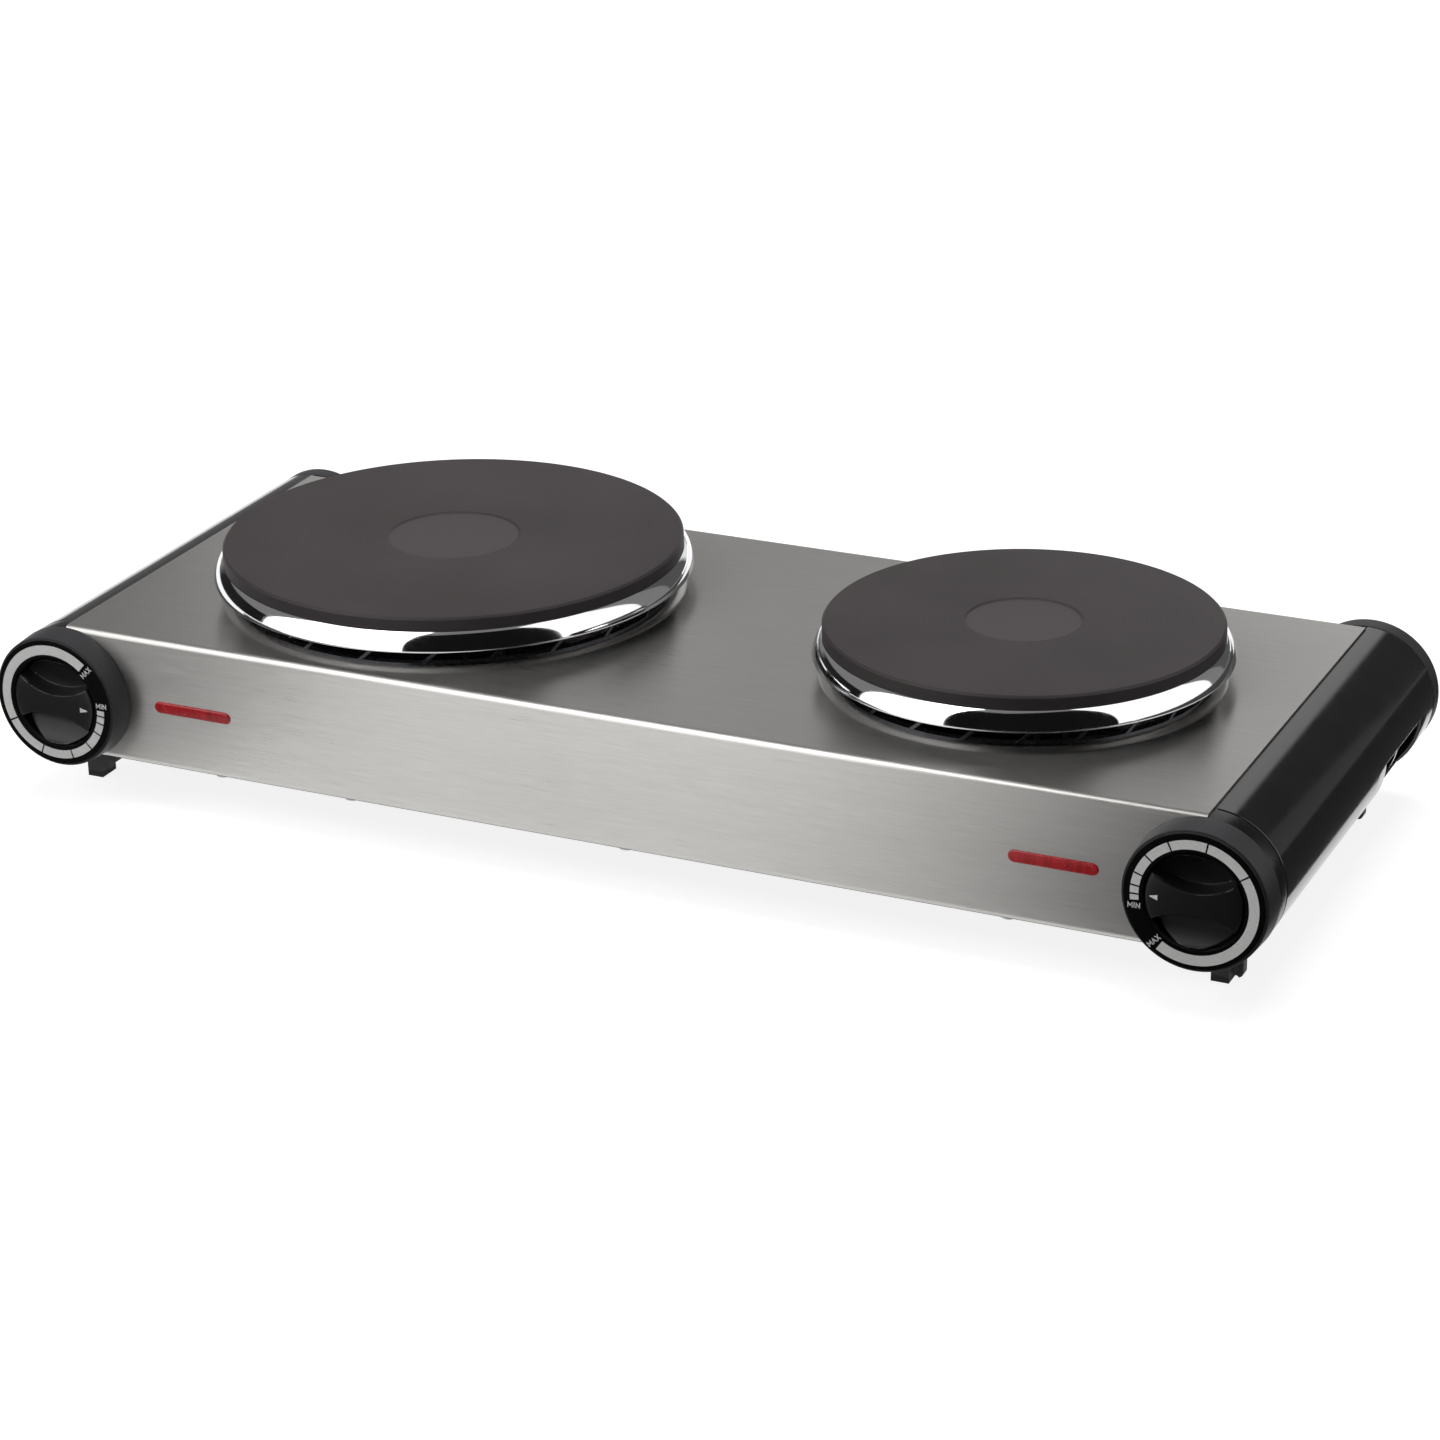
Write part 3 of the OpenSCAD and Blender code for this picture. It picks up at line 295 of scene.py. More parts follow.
class Finish:
    def __init__(self, name, colour, roughness, metallic=0.0):
        self.material = bpy.data.materials.new(name)
        self.material.use_nodes = True
        self.tree = self.material.node_tree
        self.shader = self.tree.nodes["Principled BSDF"]
        self.shader.inputs["Base Color"].default_value = colour
        self.shader.inputs["Roughness"].default_value = roughness
        self.shader.inputs["Metallic"].default_value = metallic
        self.coords = self.tree.nodes.new("ShaderNodeTexCoord").outputs["Object"]

    def set(self, socket, value):
        self.shader.inputs[socket].default_value = value

    def drive(self, socket, pattern):
        self.tree.links.new(pattern, self.shader.inputs[socket])

    def noise(self, scale, stretch=(1, 1, 1), detail=4.0, rough=0.55):
        """Noise with `scale` features a metre, squeezed by stretch along each axis."""
        place = self.tree.nodes.new("ShaderNodeMapping")
        place.inputs["Scale"].default_value = stretch
        self.tree.links.new(self.coords, place.inputs["Vector"])
        grain = self.tree.nodes.new("ShaderNodeTexNoise")
        grain.inputs["Scale"].default_value = scale
        grain.inputs["Detail"].default_value = detail
        grain.inputs["Roughness"].default_value = rough
        self.tree.links.new(place.outputs["Vector"], grain.inputs["Vector"])
        return grain.outputs["Fac"]

    def between(self, amount, low, high, start=0.3, end=0.7):
        """Maps a pattern from start..end to the range low..high."""
        spread = self.tree.nodes.new("ShaderNodeMapRange")
        spread.inputs["From Min"].default_value = start
        spread.inputs["From Max"].default_value = end
        spread.inputs["To Min"].default_value = low
        spread.inputs["To Max"].default_value = high
        self.tree.links.new(amount, spread.inputs["Value"])
        return spread.outputs["Result"]

    def blend(self, amount, first, second):
        """A colour that goes from first to second as the pattern rises; first may be a pattern."""
        mix = self.tree.nodes.new("ShaderNodeMix")
        mix.data_type = "RGBA"
        if isinstance(first, bpy.types.NodeSocket):
            self.tree.links.new(first, mix.inputs[MIX_FIRST])
        else:
            mix.inputs[MIX_FIRST].default_value = first
        mix.inputs[MIX_SECOND].default_value = second
        self.tree.links.new(amount, mix.inputs["Factor"])
        return mix.outputs[MIX_COLOUR]

    def sum(self, first, second):
        add = self.tree.nodes.new("ShaderNodeMath")
        self.tree.links.new(first, add.inputs[0])
        self.tree.links.new(second, add.inputs[1])
        return add.outputs[0]

    def relief(self, pattern, depth_mm, strength):
        """Small bumps of the given depth."""
        bump = self.tree.nodes.new("ShaderNodeBump")
        bump.inputs["Strength"].default_value = strength
        bump.inputs["Distance"].default_value = depth_mm * MM
        self.tree.links.new(pattern, bump.inputs["Height"])
        self.tree.links.new(bump.outputs["Normal"], self.shader.inputs["Normal"])

    def cloudy(self, scale, dark, light, detail=4.0, rough=0.55):
        """A base colour that wanders between two shades."""
        cloud = self.noise(scale, detail=detail, rough=rough)
        self.drive("Base Color", self.blend(self.between(cloud, 0, 1), dark, light))

    def done(self):
        print("finish:", self.material.name, "with", len(self.tree.nodes), "nodes")
        return self.material


print("finish helpers ready")

# %% [markdown]
# ### Brushed steel
# The housing is stainless sheet, ground with a belt along its length. The belt leaves scratches
# that are long in X and a fraction of a millimetre wide, so the noise is stretched along X. The
# scratches spread reflections across their length. Modelled scratches would need millions of
# faces, while the shader's anisotropy does the same when its tangent also points along X.


# %% Brushed steel finish
def brushed_steel():
    steel = Finish("brushed_steel", seen(196, 194, 191), 0.3, metallic=1.0)
    fine = steel.noise(1.0, stretch=(70, 3200, 3200), detail=4.0, rough=0.65)
    broad = steel.noise(1.0, stretch=(12, 700, 700), detail=3.0, rough=0.6)
    cloud = steel.noise(9.0, detail=2.0)
    streaks = steel.sum(steel.between(fine, 0, 0.75), steel.between(broad, 0, 0.25))
    steel.drive("Base Color", steel.blend(streaks, seen(184, 182, 179), seen(204, 202, 199)))
    rough = steel.sum(steel.between(streaks, 0.27, 0.33, 0, 1), steel.between(cloud, -0.015, 0.02))
    steel.drive("Roughness", rough)
    steel.set("Anisotropic", 0.8)
    steel.set("Anisotropic Rotation", 0.25)
    along = steel.tree.nodes.new("ShaderNodeCombineXYZ")
    along.inputs["X"].default_value = 1.0
    steel.drive("Tangent", along.outputs["Vector"])
    steel.relief(streaks, 0.002, 0.15)
    return steel.done()


STEEL = brushed_steel()

# %% [markdown]
# ### Cast iron
# The plates are cast, machined flat and coated with a heat-proof black that looks brownish in
# daylight. Fine grain breaks the shine, and faint rings from the lathe run round each plate.
# The rings follow the distance from the plate's centre, which one-dimensional noise turns into
# an uneven set of circles. The recess is a little lighter than the face round it.


# %% Cast iron finish, one for each plate because the rings need its centre
def cast_iron(name, centre, recess_r, shade):
    iron = Finish(name, shade, 0.5)
    grain = iron.noise(1500, detail=5.0, rough=0.65)
    cloud = iron.noise(14, detail=4.0)
    place = iron.tree.nodes.new("ShaderNodeMapping")
    place.inputs["Location"].default_value = (-centre.x, -centre.y, 0)
    place.inputs["Scale"].default_value = (1, 1, 0)
    iron.tree.links.new(iron.coords, place.inputs["Vector"])
    reach = iron.tree.nodes.new("ShaderNodeVectorMath")
    reach.operation = "LENGTH"
    iron.tree.links.new(place.outputs["Vector"], reach.inputs[0])
    rings = iron.tree.nodes.new("ShaderNodeTexNoise")
    rings.noise_dimensions = "1D"
    rings.inputs["Scale"].default_value = 900
    iron.tree.links.new(reach.outputs["Value"], rings.inputs["W"])
    face = iron.blend(iron.between(cloud, 0, 1), toned(shade, 0.86), toned(shade, 1.16))
    recess = iron.between(reach.outputs["Value"], 1, 0, recess_r * 0.94, recess_r * 1.0)
    iron.drive("Base Color", iron.blend(recess, face, toned(shade, 1.42)))
    turning = iron.between(rings.outputs["Fac"], -0.012, 0.012)
    iron.drive("Roughness", iron.sum(iron.between(grain, 0.44, 0.56), turning))
    iron.set("Specular IOR Level", 0.22)
    iron.relief(grain, 0.02, 0.35)
    return iron.done()


IRON = {
    size: cast_iron(f"cast_iron_{size}", centre, RECESS_R[size] * MM, seen(54, 49, 50))
    for size, (centre, _, _) in plates.items()
}


# %% [markdown]
# ### Bright and plain metals
# The trim rings are chromed: a mirror with only a trace of haze. The support rings below them
# are plated too; their dark cloudy grey is painted shade, as they sit in the shadow under the
# trim rings. Fixings, brackets and pans inside are zinc plated, which is paler and rougher. One
# function makes all the cloudy metals, since they differ only in colour, roughness and size of cloud.


# %% Chrome, zinc, brass and oxidised alloy
def chrome():
    bright = Finish("chrome_plate", seen(232, 232, 234), 0.06, metallic=1.0)
    haze = bright.noise(60, detail=5.0)
    bright.drive("Roughness", bright.between(haze, 0.035, 0.10))
    bright.relief(bright.noise(120, detail=2.0), 0.01, 0.15)
    return bright.done()


def plain_metal(name, dark, light, rough, scale=220, metallic=1.0):
    metal = Finish(name, light, rough, metallic=metallic)
    metal.cloudy(scale, dark, light, detail=5.0, rough=0.6)
    metal.drive("Roughness", metal.between(metal.noise(scale * 3), rough - 0.08, rough + 0.1))
    metal.relief(metal.noise(scale * 8), 0.02, 0.3)
    return metal.done()


CHROME = chrome()
# painted shade: the support rings are darkened because they sit in the shadow under the trim rings
CHROME_IN_PAINTED_SHADE = plain_metal("chrome_painted_shade", seen(56, 57, 61), seen(74, 75, 80), 0.22, scale=90)
ZINC = plain_metal("zinc_plate", seen(150, 152, 156), seen(186, 188, 192), 0.38)
BRASS = plain_metal("brass_contacts", seen(168, 132, 70), seen(206, 172, 104), 0.32)
ALLOY = plain_metal("oxidised_alloy", seen(78, 64, 54), seen(128, 104, 84), 0.55)
BASE_PAINT = plain_metal("dark_base_paint", seen(44, 44, 46), seen(60, 60, 63), 0.5, metallic=0.35)

# %% [markdown]
# ### Black plastics
# The end covers are polished, so they act as dim mirrors, with a thin clear coat. The bezels,
# caps, knobs and feet come from an etched mould: a fine grain that turns black plastic into a
# soft grey sheen. One black for all of them would melt them into one lump, so each has its own
# depth: greyish drums, a blacker dial face, glossier half necks, and knobs in between. The dial
# face's deeper black is painted shade, on the same plastic as the drum.


# %% Gloss and matte black
def gloss_black():
    gloss = Finish("gloss_black", seen(18, 17, 17), 0.12)
    gloss.cloudy(40, seen(16, 16, 16), seen(22, 21, 21))
    gloss.drive("Roughness", gloss.between(gloss.noise(90, detail=5.0), 0.08, 0.17))
    gloss.relief(gloss.noise(160, detail=2.0), 0.02, 0.2)
    gloss.set("Coat Weight", 0.3)
    gloss.set("Coat Roughness", 0.06)
    return gloss.done()


def matte_black(name, shade, rough, grain=2600, gleam=0.35):
    matte = Finish(name, shade, rough)
    matte.cloudy(55, toned(shade, 0.8), shade)
    etch = matte.noise(grain, detail=3.0, rough=0.6)
    matte.drive("Roughness", matte.between(etch, rough - 0.06, rough + 0.08))
    matte.relief(etch, 0.03, 0.45)
    matte.set("Specular IOR Level", gleam)
    return matte.done()


GLOSS = gloss_black()
BEZEL_BLACK = matte_black("etched_black", seen(54, 54, 56), 0.45, gleam=0.2)
# painted shade: the dial face is the drum's own plastic, made darker because it faces forward, away from the
# lamp above
DIAL_FACE_PAINTED_SHADE = matte_black("dial_black_painted_shade", seen(10, 10, 11), 0.5, gleam=0.05)
NECK_BLACK = matte_black("neck_black", seen(10, 10, 11), 0.22)
KNOB_BLACK = matte_black("knob_black", seen(20, 20, 22), 0.36)
FOOT_BLACK = matte_black("foot_black", seen(30, 30, 32), 0.55)
RUBBER = matte_black("pad_rubber", seen(24, 24, 25), 0.75, grain=1200)


# %% [markdown]
# ### Print and lamp
# The scale is printed in silver grey and the words in white. Print could be painted on with a
# texture, but here it is geometry a tenth of a millimetre thick, so its ink is a finish like
# any other. A lamp lens is red all through: a little transmission behind a glossy skin, and a
# trace of glow, because light that enters its back leaves at the front.


# %% Printed inks and lamp
def ink(name, shade, rough):
    print_layer = Finish(name, shade, rough)
    print_layer.cloudy(900, toned(shade, 0.9), shade)
    fine = print_layer.noise(1500)
    print_layer.drive("Roughness", print_layer.between(fine, rough - 0.05, rough + 0.1))
    return print_layer.done()


def red_lens():
    lens = Finish("red_lens_plastic", seen(186, 24, 34), 0.2)
    ribs = lens.noise(1.0, stretch=(500, 60, 60), detail=2.0)
    lens.drive("Base Color", lens.blend(lens.between(ribs, 0, 1), seen(160, 14, 26), seen(204, 34, 42)))
    lens.drive("Roughness", lens.between(lens.noise(300), 0.16, 0.3))
    lens.set("Transmission Weight", 0.12)
    lens.set("Subsurface Weight", 0.15)
    lens.set("Subsurface Radius", (0.002, 0.0004, 0.0004))
    lens.set("Emission Color", seen(190, 20, 30))
    lens.set("Emission Strength", 0.08)
    return lens.done()


SILVER_INK = ink("silver_ink", seen(248, 248, 246), 0.4)
WHITE_INK = ink("white_ink", seen(252, 252, 250), 0.5)
RED = red_lens()

# %% [markdown]
# ### Ceramic, wool, braid and neon glass
# These are the hidden electrical parts. Unglazed ceramic, mineral wool and glass braid are all
# dull, so one earthy finish serves them, with grain from coarse to fine. The braid's near
# black-brown is painted shade, for it lies in the dark inside the cover. The neon lamp is clear, tinted
# glass.


# %% Ceramic, wool, braid and neon
def earthy(name, dark, light, rough, scale):
    stuff = Finish(name, light, rough)
    grain = stuff.noise(scale, detail=6.0, rough=0.65)
    stuff.drive("Base Color", stuff.blend(stuff.between(grain, 0, 1), dark, light))
    stuff.drive("Roughness", stuff.between(grain, rough - 0.08, rough + 0.08))
    stuff.relief(grain, 0.05, 0.4)
    return stuff.done()


def neon_glass():
    neon = Finish("neon_lamp_glass", seen(240, 190, 150), 0.08)
    neon.cloudy(120, seen(236, 170, 120), seen(246, 206, 170))
    neon.drive("Roughness", neon.between(neon.noise(200), 0.04, 0.12))
    neon.set("Transmission Weight", 0.7)
    return neon.done()


CERAMIC = earthy("cream_ceramic", seen(206, 198, 178), seen(226, 220, 204), 0.6, 700)
WOOL = earthy("mineral_wool", seen(196, 192, 182), seen(228, 226, 218), 0.9, 1800)
# painted shade: the braid is made dark because it lies in the shade inside the cover
BRAID_PAINTED_SHADE = earthy("glass_braid_painted_shade", seen(58, 52, 46), seen(84, 76, 68), 0.8, 2400)
NEON = neon_glass()

# %% [markdown]
# ## Finish the CAD pieces that stay
# Hidden pieces and simple fixings could be built again too, but nobody would see a difference.
# They keep their CAD mesh, and only the material in their slot changes.


# %% Give the kept nodes their finish
def keep_with(finish, *names):
    for name in names:
        for slot in nodes[name].material_slots:
            slot.material = finish
    print(finish.name, "on", ", ".join(names))


keep_with(BASE_PAINT, "bottom_plate")
keep_with(ZINC, "lamp_clips", "clamp_nuts", "bracket_screws", "foot_screws", "bottom_screws", "cover_screws")
for size in plates:
    keep_with(ZINC, f"{size}_base_pan", f"{size}_centre_stud", f"{size}_clamp_bar")
    keep_with(ALLOY, f"{size}_heating_coil")
    keep_with(WOOL, f"{size}_insulation")
    keep_with(CERAMIC, f"{size}_terminal_block")
for side in OUT:
    keep_with(ZINC, f"{side}_thermostat_bracket", f"{side}_dial_shaft")
    keep_with(BRASS, f"{side}_bimetal_switch")
    keep_with(CERAMIC, f"{side}_thermostat_body")
    # the wiring's dark braid is painted shade inside the cover
    keep_with(BRAID_PAINTED_SHADE, f"{side}_wiring")
    keep_with(NEON, f"{side}_neon_lamp")
keep_with(CERAMIC, "mains_terminal_block")
keep_with(BRASS, "earth_screw")
keep_with(FOOT_BLACK, "gland_nut")
keep_with(RUBBER, "foot_pads")

# %% [markdown]
# ## Housing
# The folded sheet keeps its CAD shape, because its folds, collars and cut-outs must line up with
# everything else, and building it again would risk that for nothing. A copy of the mesh gets
# merged faces, eased edges and even shading, so that each fold catches a line of light.

# %% Housing shell
eased_copy("housing_shell", "housing", STEEL, "steel_housing", ease=0.15)

# %% [markdown]
# ## Hot plates
# A plate is a casting turned on a lathe, so turning one outline makes all of it: a flat face
# with a shallow centre recess, a crisp upper edge with a narrow chamfer, a short wall, and below
# it a thinner skirt that hides in the ring. The wall's height matters, because it sets how much
# black stands above the chrome.


# %% Turn the plates
PLATE_HIGH = 13.0
PLATE_RIM = 5.6  # height of the wall that stands above the ring
PLATE_GROWTH = 0.5  # the castings come out a little wider than their solids
RECESS_DEEP, RECESS_SLOPE, CHAMFER = 0.6, 0.8, 0.9
SKIRT_IN, SKIRT_THICK = 6.5, 4.0
HUB_R, HOLLOW_HIGH = 24.0, 5.0


def hot_plate(size):
    centre, radius, top = plates[size]
    recess = RECESS_R[size]
    r = radius / MM + PLATE_GROWTH
    skirt_r = r - SKIRT_IN
    recess_z, wall_z = PLATE_HIGH - RECESS_DEEP, PLATE_HIGH - PLATE_RIM
    outline = rounded([
        (0.0, recess_z, 0), (recess - RECESS_SLOPE, recess_z, 0.5), (recess, PLATE_HIGH, 0.5),
        (r - CHAMFER, PLATE_HIGH, 0.3), (r, PLATE_HIGH - CHAMFER, 0.3), (r, wall_z, 0.3),
        (skirt_r, wall_z, 0.3), (skirt_r, 0.0, 0.5), (skirt_r - SKIRT_THICK, 0.0, 0.3),
        (skirt_r - SKIRT_THICK, HOLLOW_HIGH, 0.5), (HUB_R, HOLLOW_HIGH, 0.5),
        (HUB_R, 0.0, 0.3), (0.0, 0.0, 0),
    ], steps=8)
    foot = centre + Vector((0, 0, top - PLATE_HIGH * MM))
    verts, faces = turned(outline, foot, steps=256)
    name, solid = f"{size}_plate_casting", f"{size}_hot_plate"
    return add_piece(name, verts, faces, "housing", IRON[size], [solid])


for size in plates:
    hot_plate(size)

# %% [markdown]
# ## Chrome trim rings
# A trim ring is thin sheet, spun so that it starts flat under the wall of the plate, curls
# outwards and down, and ends in a thin rounded lip. The curl is an arc whose lean goes from
# gentle to steep. A plain cone would show one flat tone, while the arc gathers the whole room
# into bands, which is what makes chrome look like chrome. The inner side follows the outer one
# half a millimetre in. The support ring below keeps its CAD shape, with its slots.


# %% Turn the rings
RING_GROWTH = 0.8
RING_REACH = 3.8  # how far the curl leans out from the plate
RING_FOOT = 10.3  # height of the lip above the deck
RING_UNDER = 5.6  # how far the ring reaches in under the plate
ARC_STEPS = 24
RING_SHEET = 0.8
INSIDE_IN, INSIDE_DOWN = 0.5, 0.25
LIP = ((-0.05, -0.2), (-0.25, -0.3), (-0.45, -0.2))


def ring_arc(r, low, high):
    """The outside of the curl, from the plate down to the lip."""
    gentle, steep = math.radians(34), math.radians(78)
    points = []
    for k in range(ARC_STEPS + 1):
        lean = gentle + (steep - gentle) * k / ARC_STEPS
        out = (math.sin(lean) - math.sin(gentle)) / (math.sin(steep) - math.sin(gentle))
        fall = (math.cos(gentle) - math.cos(lean)) / (math.cos(gentle) - math.cos(steep))
        points.append((r + RING_REACH * out, high - (high - low) * fall))
    return points


def trim_ring(size):
    centre, radius, top = plates[size]
    r = radius / MM + RING_GROWTH
    low, high = deck_z / MM + RING_FOOT, top / MM - PLATE_RIM
    inner_r = radius / MM - RING_UNDER
    outer = ring_arc(r, low, high)
    lip = [(r + RING_REACH + x, low + z) for x, z in LIP]
    inner = [(x - INSIDE_IN, z - INSIDE_DOWN) for x, z in reversed(outer)]
    outline = [(inner_r, high)] + outer + lip + inner + [(inner_r, high - RING_SHEET)]
    verts, faces = turned([(a * MM, b * MM) for a, b in outline], centre, steps=256)
    name, solid = f"{size}_ring_chrome", f"{size}_trim_ring"
    return add_piece(name, verts, faces, "housing", CHROME, [solid])


for size in plates:
    trim_ring(size)
    # the support ring's dark grey is painted shade under the trim ring
    eased_copy(f"{size}_support_ring", "housing", CHROME_IN_PAINTED_SHADE, f"{size}_ring_base", ease=0.0)

# %% [markdown]
# ## End covers
# A cover is half a tube of polished plastic. Cutting its finger opening out of a cylinder with
# a boolean would leave ragged faces that show in the gloss. Instead the skin is an even grid
# over angle and length, and the cells of the opening are left out. Solidify gives the wall.
# Tongues, ribs and screw bosses are plain solids, joined into one piece inside.

# %% A point on the round of an end
COVER_WALL, COVER_EDGE, COVER_LAND = 2.4 * MM, 0.9 * MM, 8 * MM
GRIP_FROM_REAR, GRIP_LONG = 17 * MM, 49 * MM
GRIP_TOP, GRIP_LOW = -0.5 * MM, -21 * MM  # heights of the finger opening from the dial axis


def round_point(side, radius, angle, y):
    """Angle 0 points outwards and 90 points up."""
    a = math.radians(angle)
    return Vector((OUT[side] * (dial_x + radius * math.cos(a)), y, axis_z + radius * math.sin(a)))


print("right end reaches x", round(round_point("right", cover_r, 0, front_y).x / MM, 1))


# %% Build the skin of a cover
def cover_rows(y0, y1, grip_y0, grip_y1):
    """Places along the cover with their radius: both ends are turned in a little."""
    front = [(y0, cover_r - COVER_EDGE), (y0 + COVER_EDGE, cover_r)]
    middle = [(y, cover_r) for y in np.linspace(y0 + COVER_LAND, grip_y0, 12)]
    window = [(y, cover_r) for y in np.linspace(grip_y0, grip_y1, 7)[1:]]
    rear = [(grip_y1 + COVER_LAND, cover_r), (y1 - COVER_EDGE, cover_r), (y1, cover_r - COVER_EDGE)]
    return front + middle + window + rear


def end_cover(side):
    y0, y1 = cover_low.y, cover_high.y
    grip_y1 = y1 - GRIP_FROM_REAR
    grip_y0 = grip_y1 - GRIP_LONG
    top, low = (math.degrees(math.asin(h / cover_r)) for h in (GRIP_TOP, GRIP_LOW))
    bands = ((-90, low, 25), (low, top, 25), (top, 90, 49))
    angles = sorted({round(a, 4) for band in bands for a in np.linspace(*band)})
    rows = cover_rows(y0, y1, grip_y0, grip_y1)
    verts = [round_point(side, r, a, y) for y, r in rows for a in angles]
    n = len(angles)
    faces = []
    for i in range(len(rows) - 1):
        for k in range(n - 1):
            mid_y = (rows[i][0] + rows[i + 1][0]) / 2
            mid_a = (angles[k] + angles[k + 1]) / 2
            if grip_y0 < mid_y < grip_y1 and low < mid_a < top:
                continue
            quad = (i * n + k, i * n + k + 1, (i + 1) * n + k + 1, (i + 1) * n + k)
            faces.append(quad if side == "right" else quad[::-1])
    name, solid = f"{side}_cover_skin", f"{side}_end_cover"
    skin = add_piece(name, verts, faces, "housing", GLOSS, [solid], sharp=CRISP)
    first = skin.data.polygons[0]
    outward = first.center - Vector((OUT[side] * dial_x, first.center.y, axis_z))
    if outward.dot(first.normal) < 0:
        skin.data.flip_normals()
    shell = skin.modifiers.new("Wall", "SOLIDIFY")
    shell.thickness = COVER_WALL
    shell.offset = -1
    ease_edges(skin, 0.4, 3, 40)
    return skin


for side in OUT:
    end_cover(side)

# %% [markdown]
# ### Inside the covers
# Only the slot of the finger opening lets one see in, but the parts there are what makes the
# opening read as a hollow moulding: half-round ribs, tongues that slip under the housing's
# folds, and bosses for the cover screws.


# %% Tongues, ribs and bosses inside a cover
RIB_IN, RIB_WIDE, RIB_DEEP = 2.3 * MM, 2 * MM, 8.1 * MM
TONGUE_LONG, LOW_TONGUE, SLIVER = 16 * MM, 1.7 * MM, 0.01 * MM
BOSS_OUT, BOSS_UP, BOSS_FROM_END = 2 * MM, 0.1 * MM, 20 * MM
BOSS = [(1.7, 0, 0), (4, 0, 0), (4, 5.4, 0.4), (1.7, 5.4, 0.2)]


def half_rib(side, y, r_out):
    r_in = r_out - RIB_DEEP
    corners = ((r_in, y), (r_out, y), (r_out, y + RIB_WIDE), (r_in, y + RIB_WIDE))
    return stacked([[round_point(side, r, a, yy) for r, yy in corners] for a in np.linspace(-90, 90, 49)])


def cover_inside(side):
    depth, grip_end = rear_y - front_y, cover_high.y - GRIP_FROM_REAR
    split = grip_end - GRIP_LONG / 2 - RIB_WIDE / 2
    rib_y = (front_y + depth / 3, front_y + depth / 2, split)
    ribs = [half_rib(side, y, cover_r - RIB_IN) for y in rib_y]
    x0, x1 = sorted([OUT[side] * (dial_x - TONGUE_LONG), OUT[side] * (dial_x + SLIVER)])
    y0, y1 = cover_low.y, rear_y - SHEET - MM
    top, bottom = axis_z + cover_r, axis_z - cover_r
    tongues = [
        block((x0, y0, top - COVER_WALL), (x1, y1, top - SLIVER)),
        block((x0, y0, bottom), (x1, y1, bottom + LOW_TONGUE)),
    ]
    boss_x, boss_z = OUT[side] * (dial_x + BOSS_OUT), bottom + BOSS_UP
    boss_y = (front_y + BOSS_FROM_END, rear_y - BOSS_FROM_END)
    bosses = [turned(rounded(BOSS), Vector((boss_x, y, boss_z)), steps=32) for y in boss_y]
    verts, faces = joined(*ribs, *tongues, *bosses)
    name, solid = f"{side}_cover_ribs", f"{side}_end_cover"
    return add_piece(name, verts, faces, "housing", GLOSS, [solid])


for side in OUT:
    cover_inside(side)

# %% [markdown]
# ## Bezels and rear caps
# A bezel is a slightly tapered drum with a raised dial face, a well for the knob, and a half
# neck that meets the cover. It is one moulding that shows three looks: the side of the drum
# is matte and greyish, the dial face is a deeper black, and the neck is smooth. The deeper black
# of the dial face is painted shade, because that face looks forward, away from the lamp above.
# Painting them with a mask would blur their borders, so the drum carries two materials, split by
# depth, and the neck is a piece of its own. The rear cap is a plain disc with rounded edges, a
# half plug in the cover and a half land on the housing.


# %% Turn the bezels
WELL_R, WELL_FLOOR = 19.2, 3.2
FACE_OUT, FACE_DEPTH = 12.5, 0.6  # how far the dial face stands out, and how deep it counts
DRUM = [
    (3.6, 1.0, 0.2), (3.6, WELL_FLOOR, 0.3), (WELL_R, WELL_FLOOR, 0.5),  # floor of the well
    (WELL_R, FACE_OUT, 0.35), (26.7, FACE_OUT, 0.45), (26.75, 11.5, 0.15),  # dial face
    (27.7, 11.4, 0.5), (28.4, 0.0, 0.4),  # tapered side
    (24.7, 0.0, 0.2), (24.7, 9.0, 0.3), (21.2, 10.5, 0.3), (21.2, -5.9, 0.3),  # hollow back
    (WELL_R, -5.9, 0.3), (WELL_R, 1.0, 0.3),
]
NECK = [(25.8, 0.0, 0), (28.2, 0.0, 0.1), (28.2, -7.9, 0.3), (25.8, -7.9, 0.1)]


def half_turn(side):
    """Where a half round that opens towards the housing starts."""
    return -90 * OUT[side]


def bezel(side):
    centre = Vector((OUT[side] * dial_x, front_y, axis_z))
    solids = [f"{side}_front_bezel"]
    verts, faces = turned(rounded(DRUM), centre, forward=True)
    name, slot = f"{side}_bezel_drum", "matte_black_plastic"
    drum = add_piece(name, verts, faces, "housing", BEZEL_BLACK, solids, sharp=CRISP)
    # the faces ahead of face_y take the darker black, which is painted shade
    drum.data.materials.append(DIAL_FACE_PAINTED_SHADE)
    face_y = front_y - (FACE_OUT - FACE_DEPTH) * MM
    for face in drum.data.polygons:
        face.material_index = 1 if face.center.y < face_y else 0
    start = half_turn(side)
    verts, faces = turned(rounded(NECK), centre, forward=True, steps=96, start=start, sweep=180)
    add_piece(f"{side}_bezel_neck", verts, faces, "housing", NECK_BLACK, solids, sharp=CRISP)


print("bezel drum:", len(DRUM), "corners, dial face", FACE_OUT, "mm out")


# %% Turn the rear caps
CAP_DISC = [
    (0, -7.0, 0), (23.8, -7.0, 0.4), (23.8, 0.0, 0.2), (28.15, 0.0, 0.5), (28.2, -9.0, 2.2), (0, -9.0, 0),
]
CAP_PLUG = [(23.6, 8.0, 0.3), (25.6, 8.0, 0.3), (25.6, -0.1, 0), (23.6, -0.1, 0)]
CAP_LAND = [(23.6, 2.0, 0), (27.0, 2.0, 0), (27.0, -0.1, 0), (23.6, -0.1, 0)]


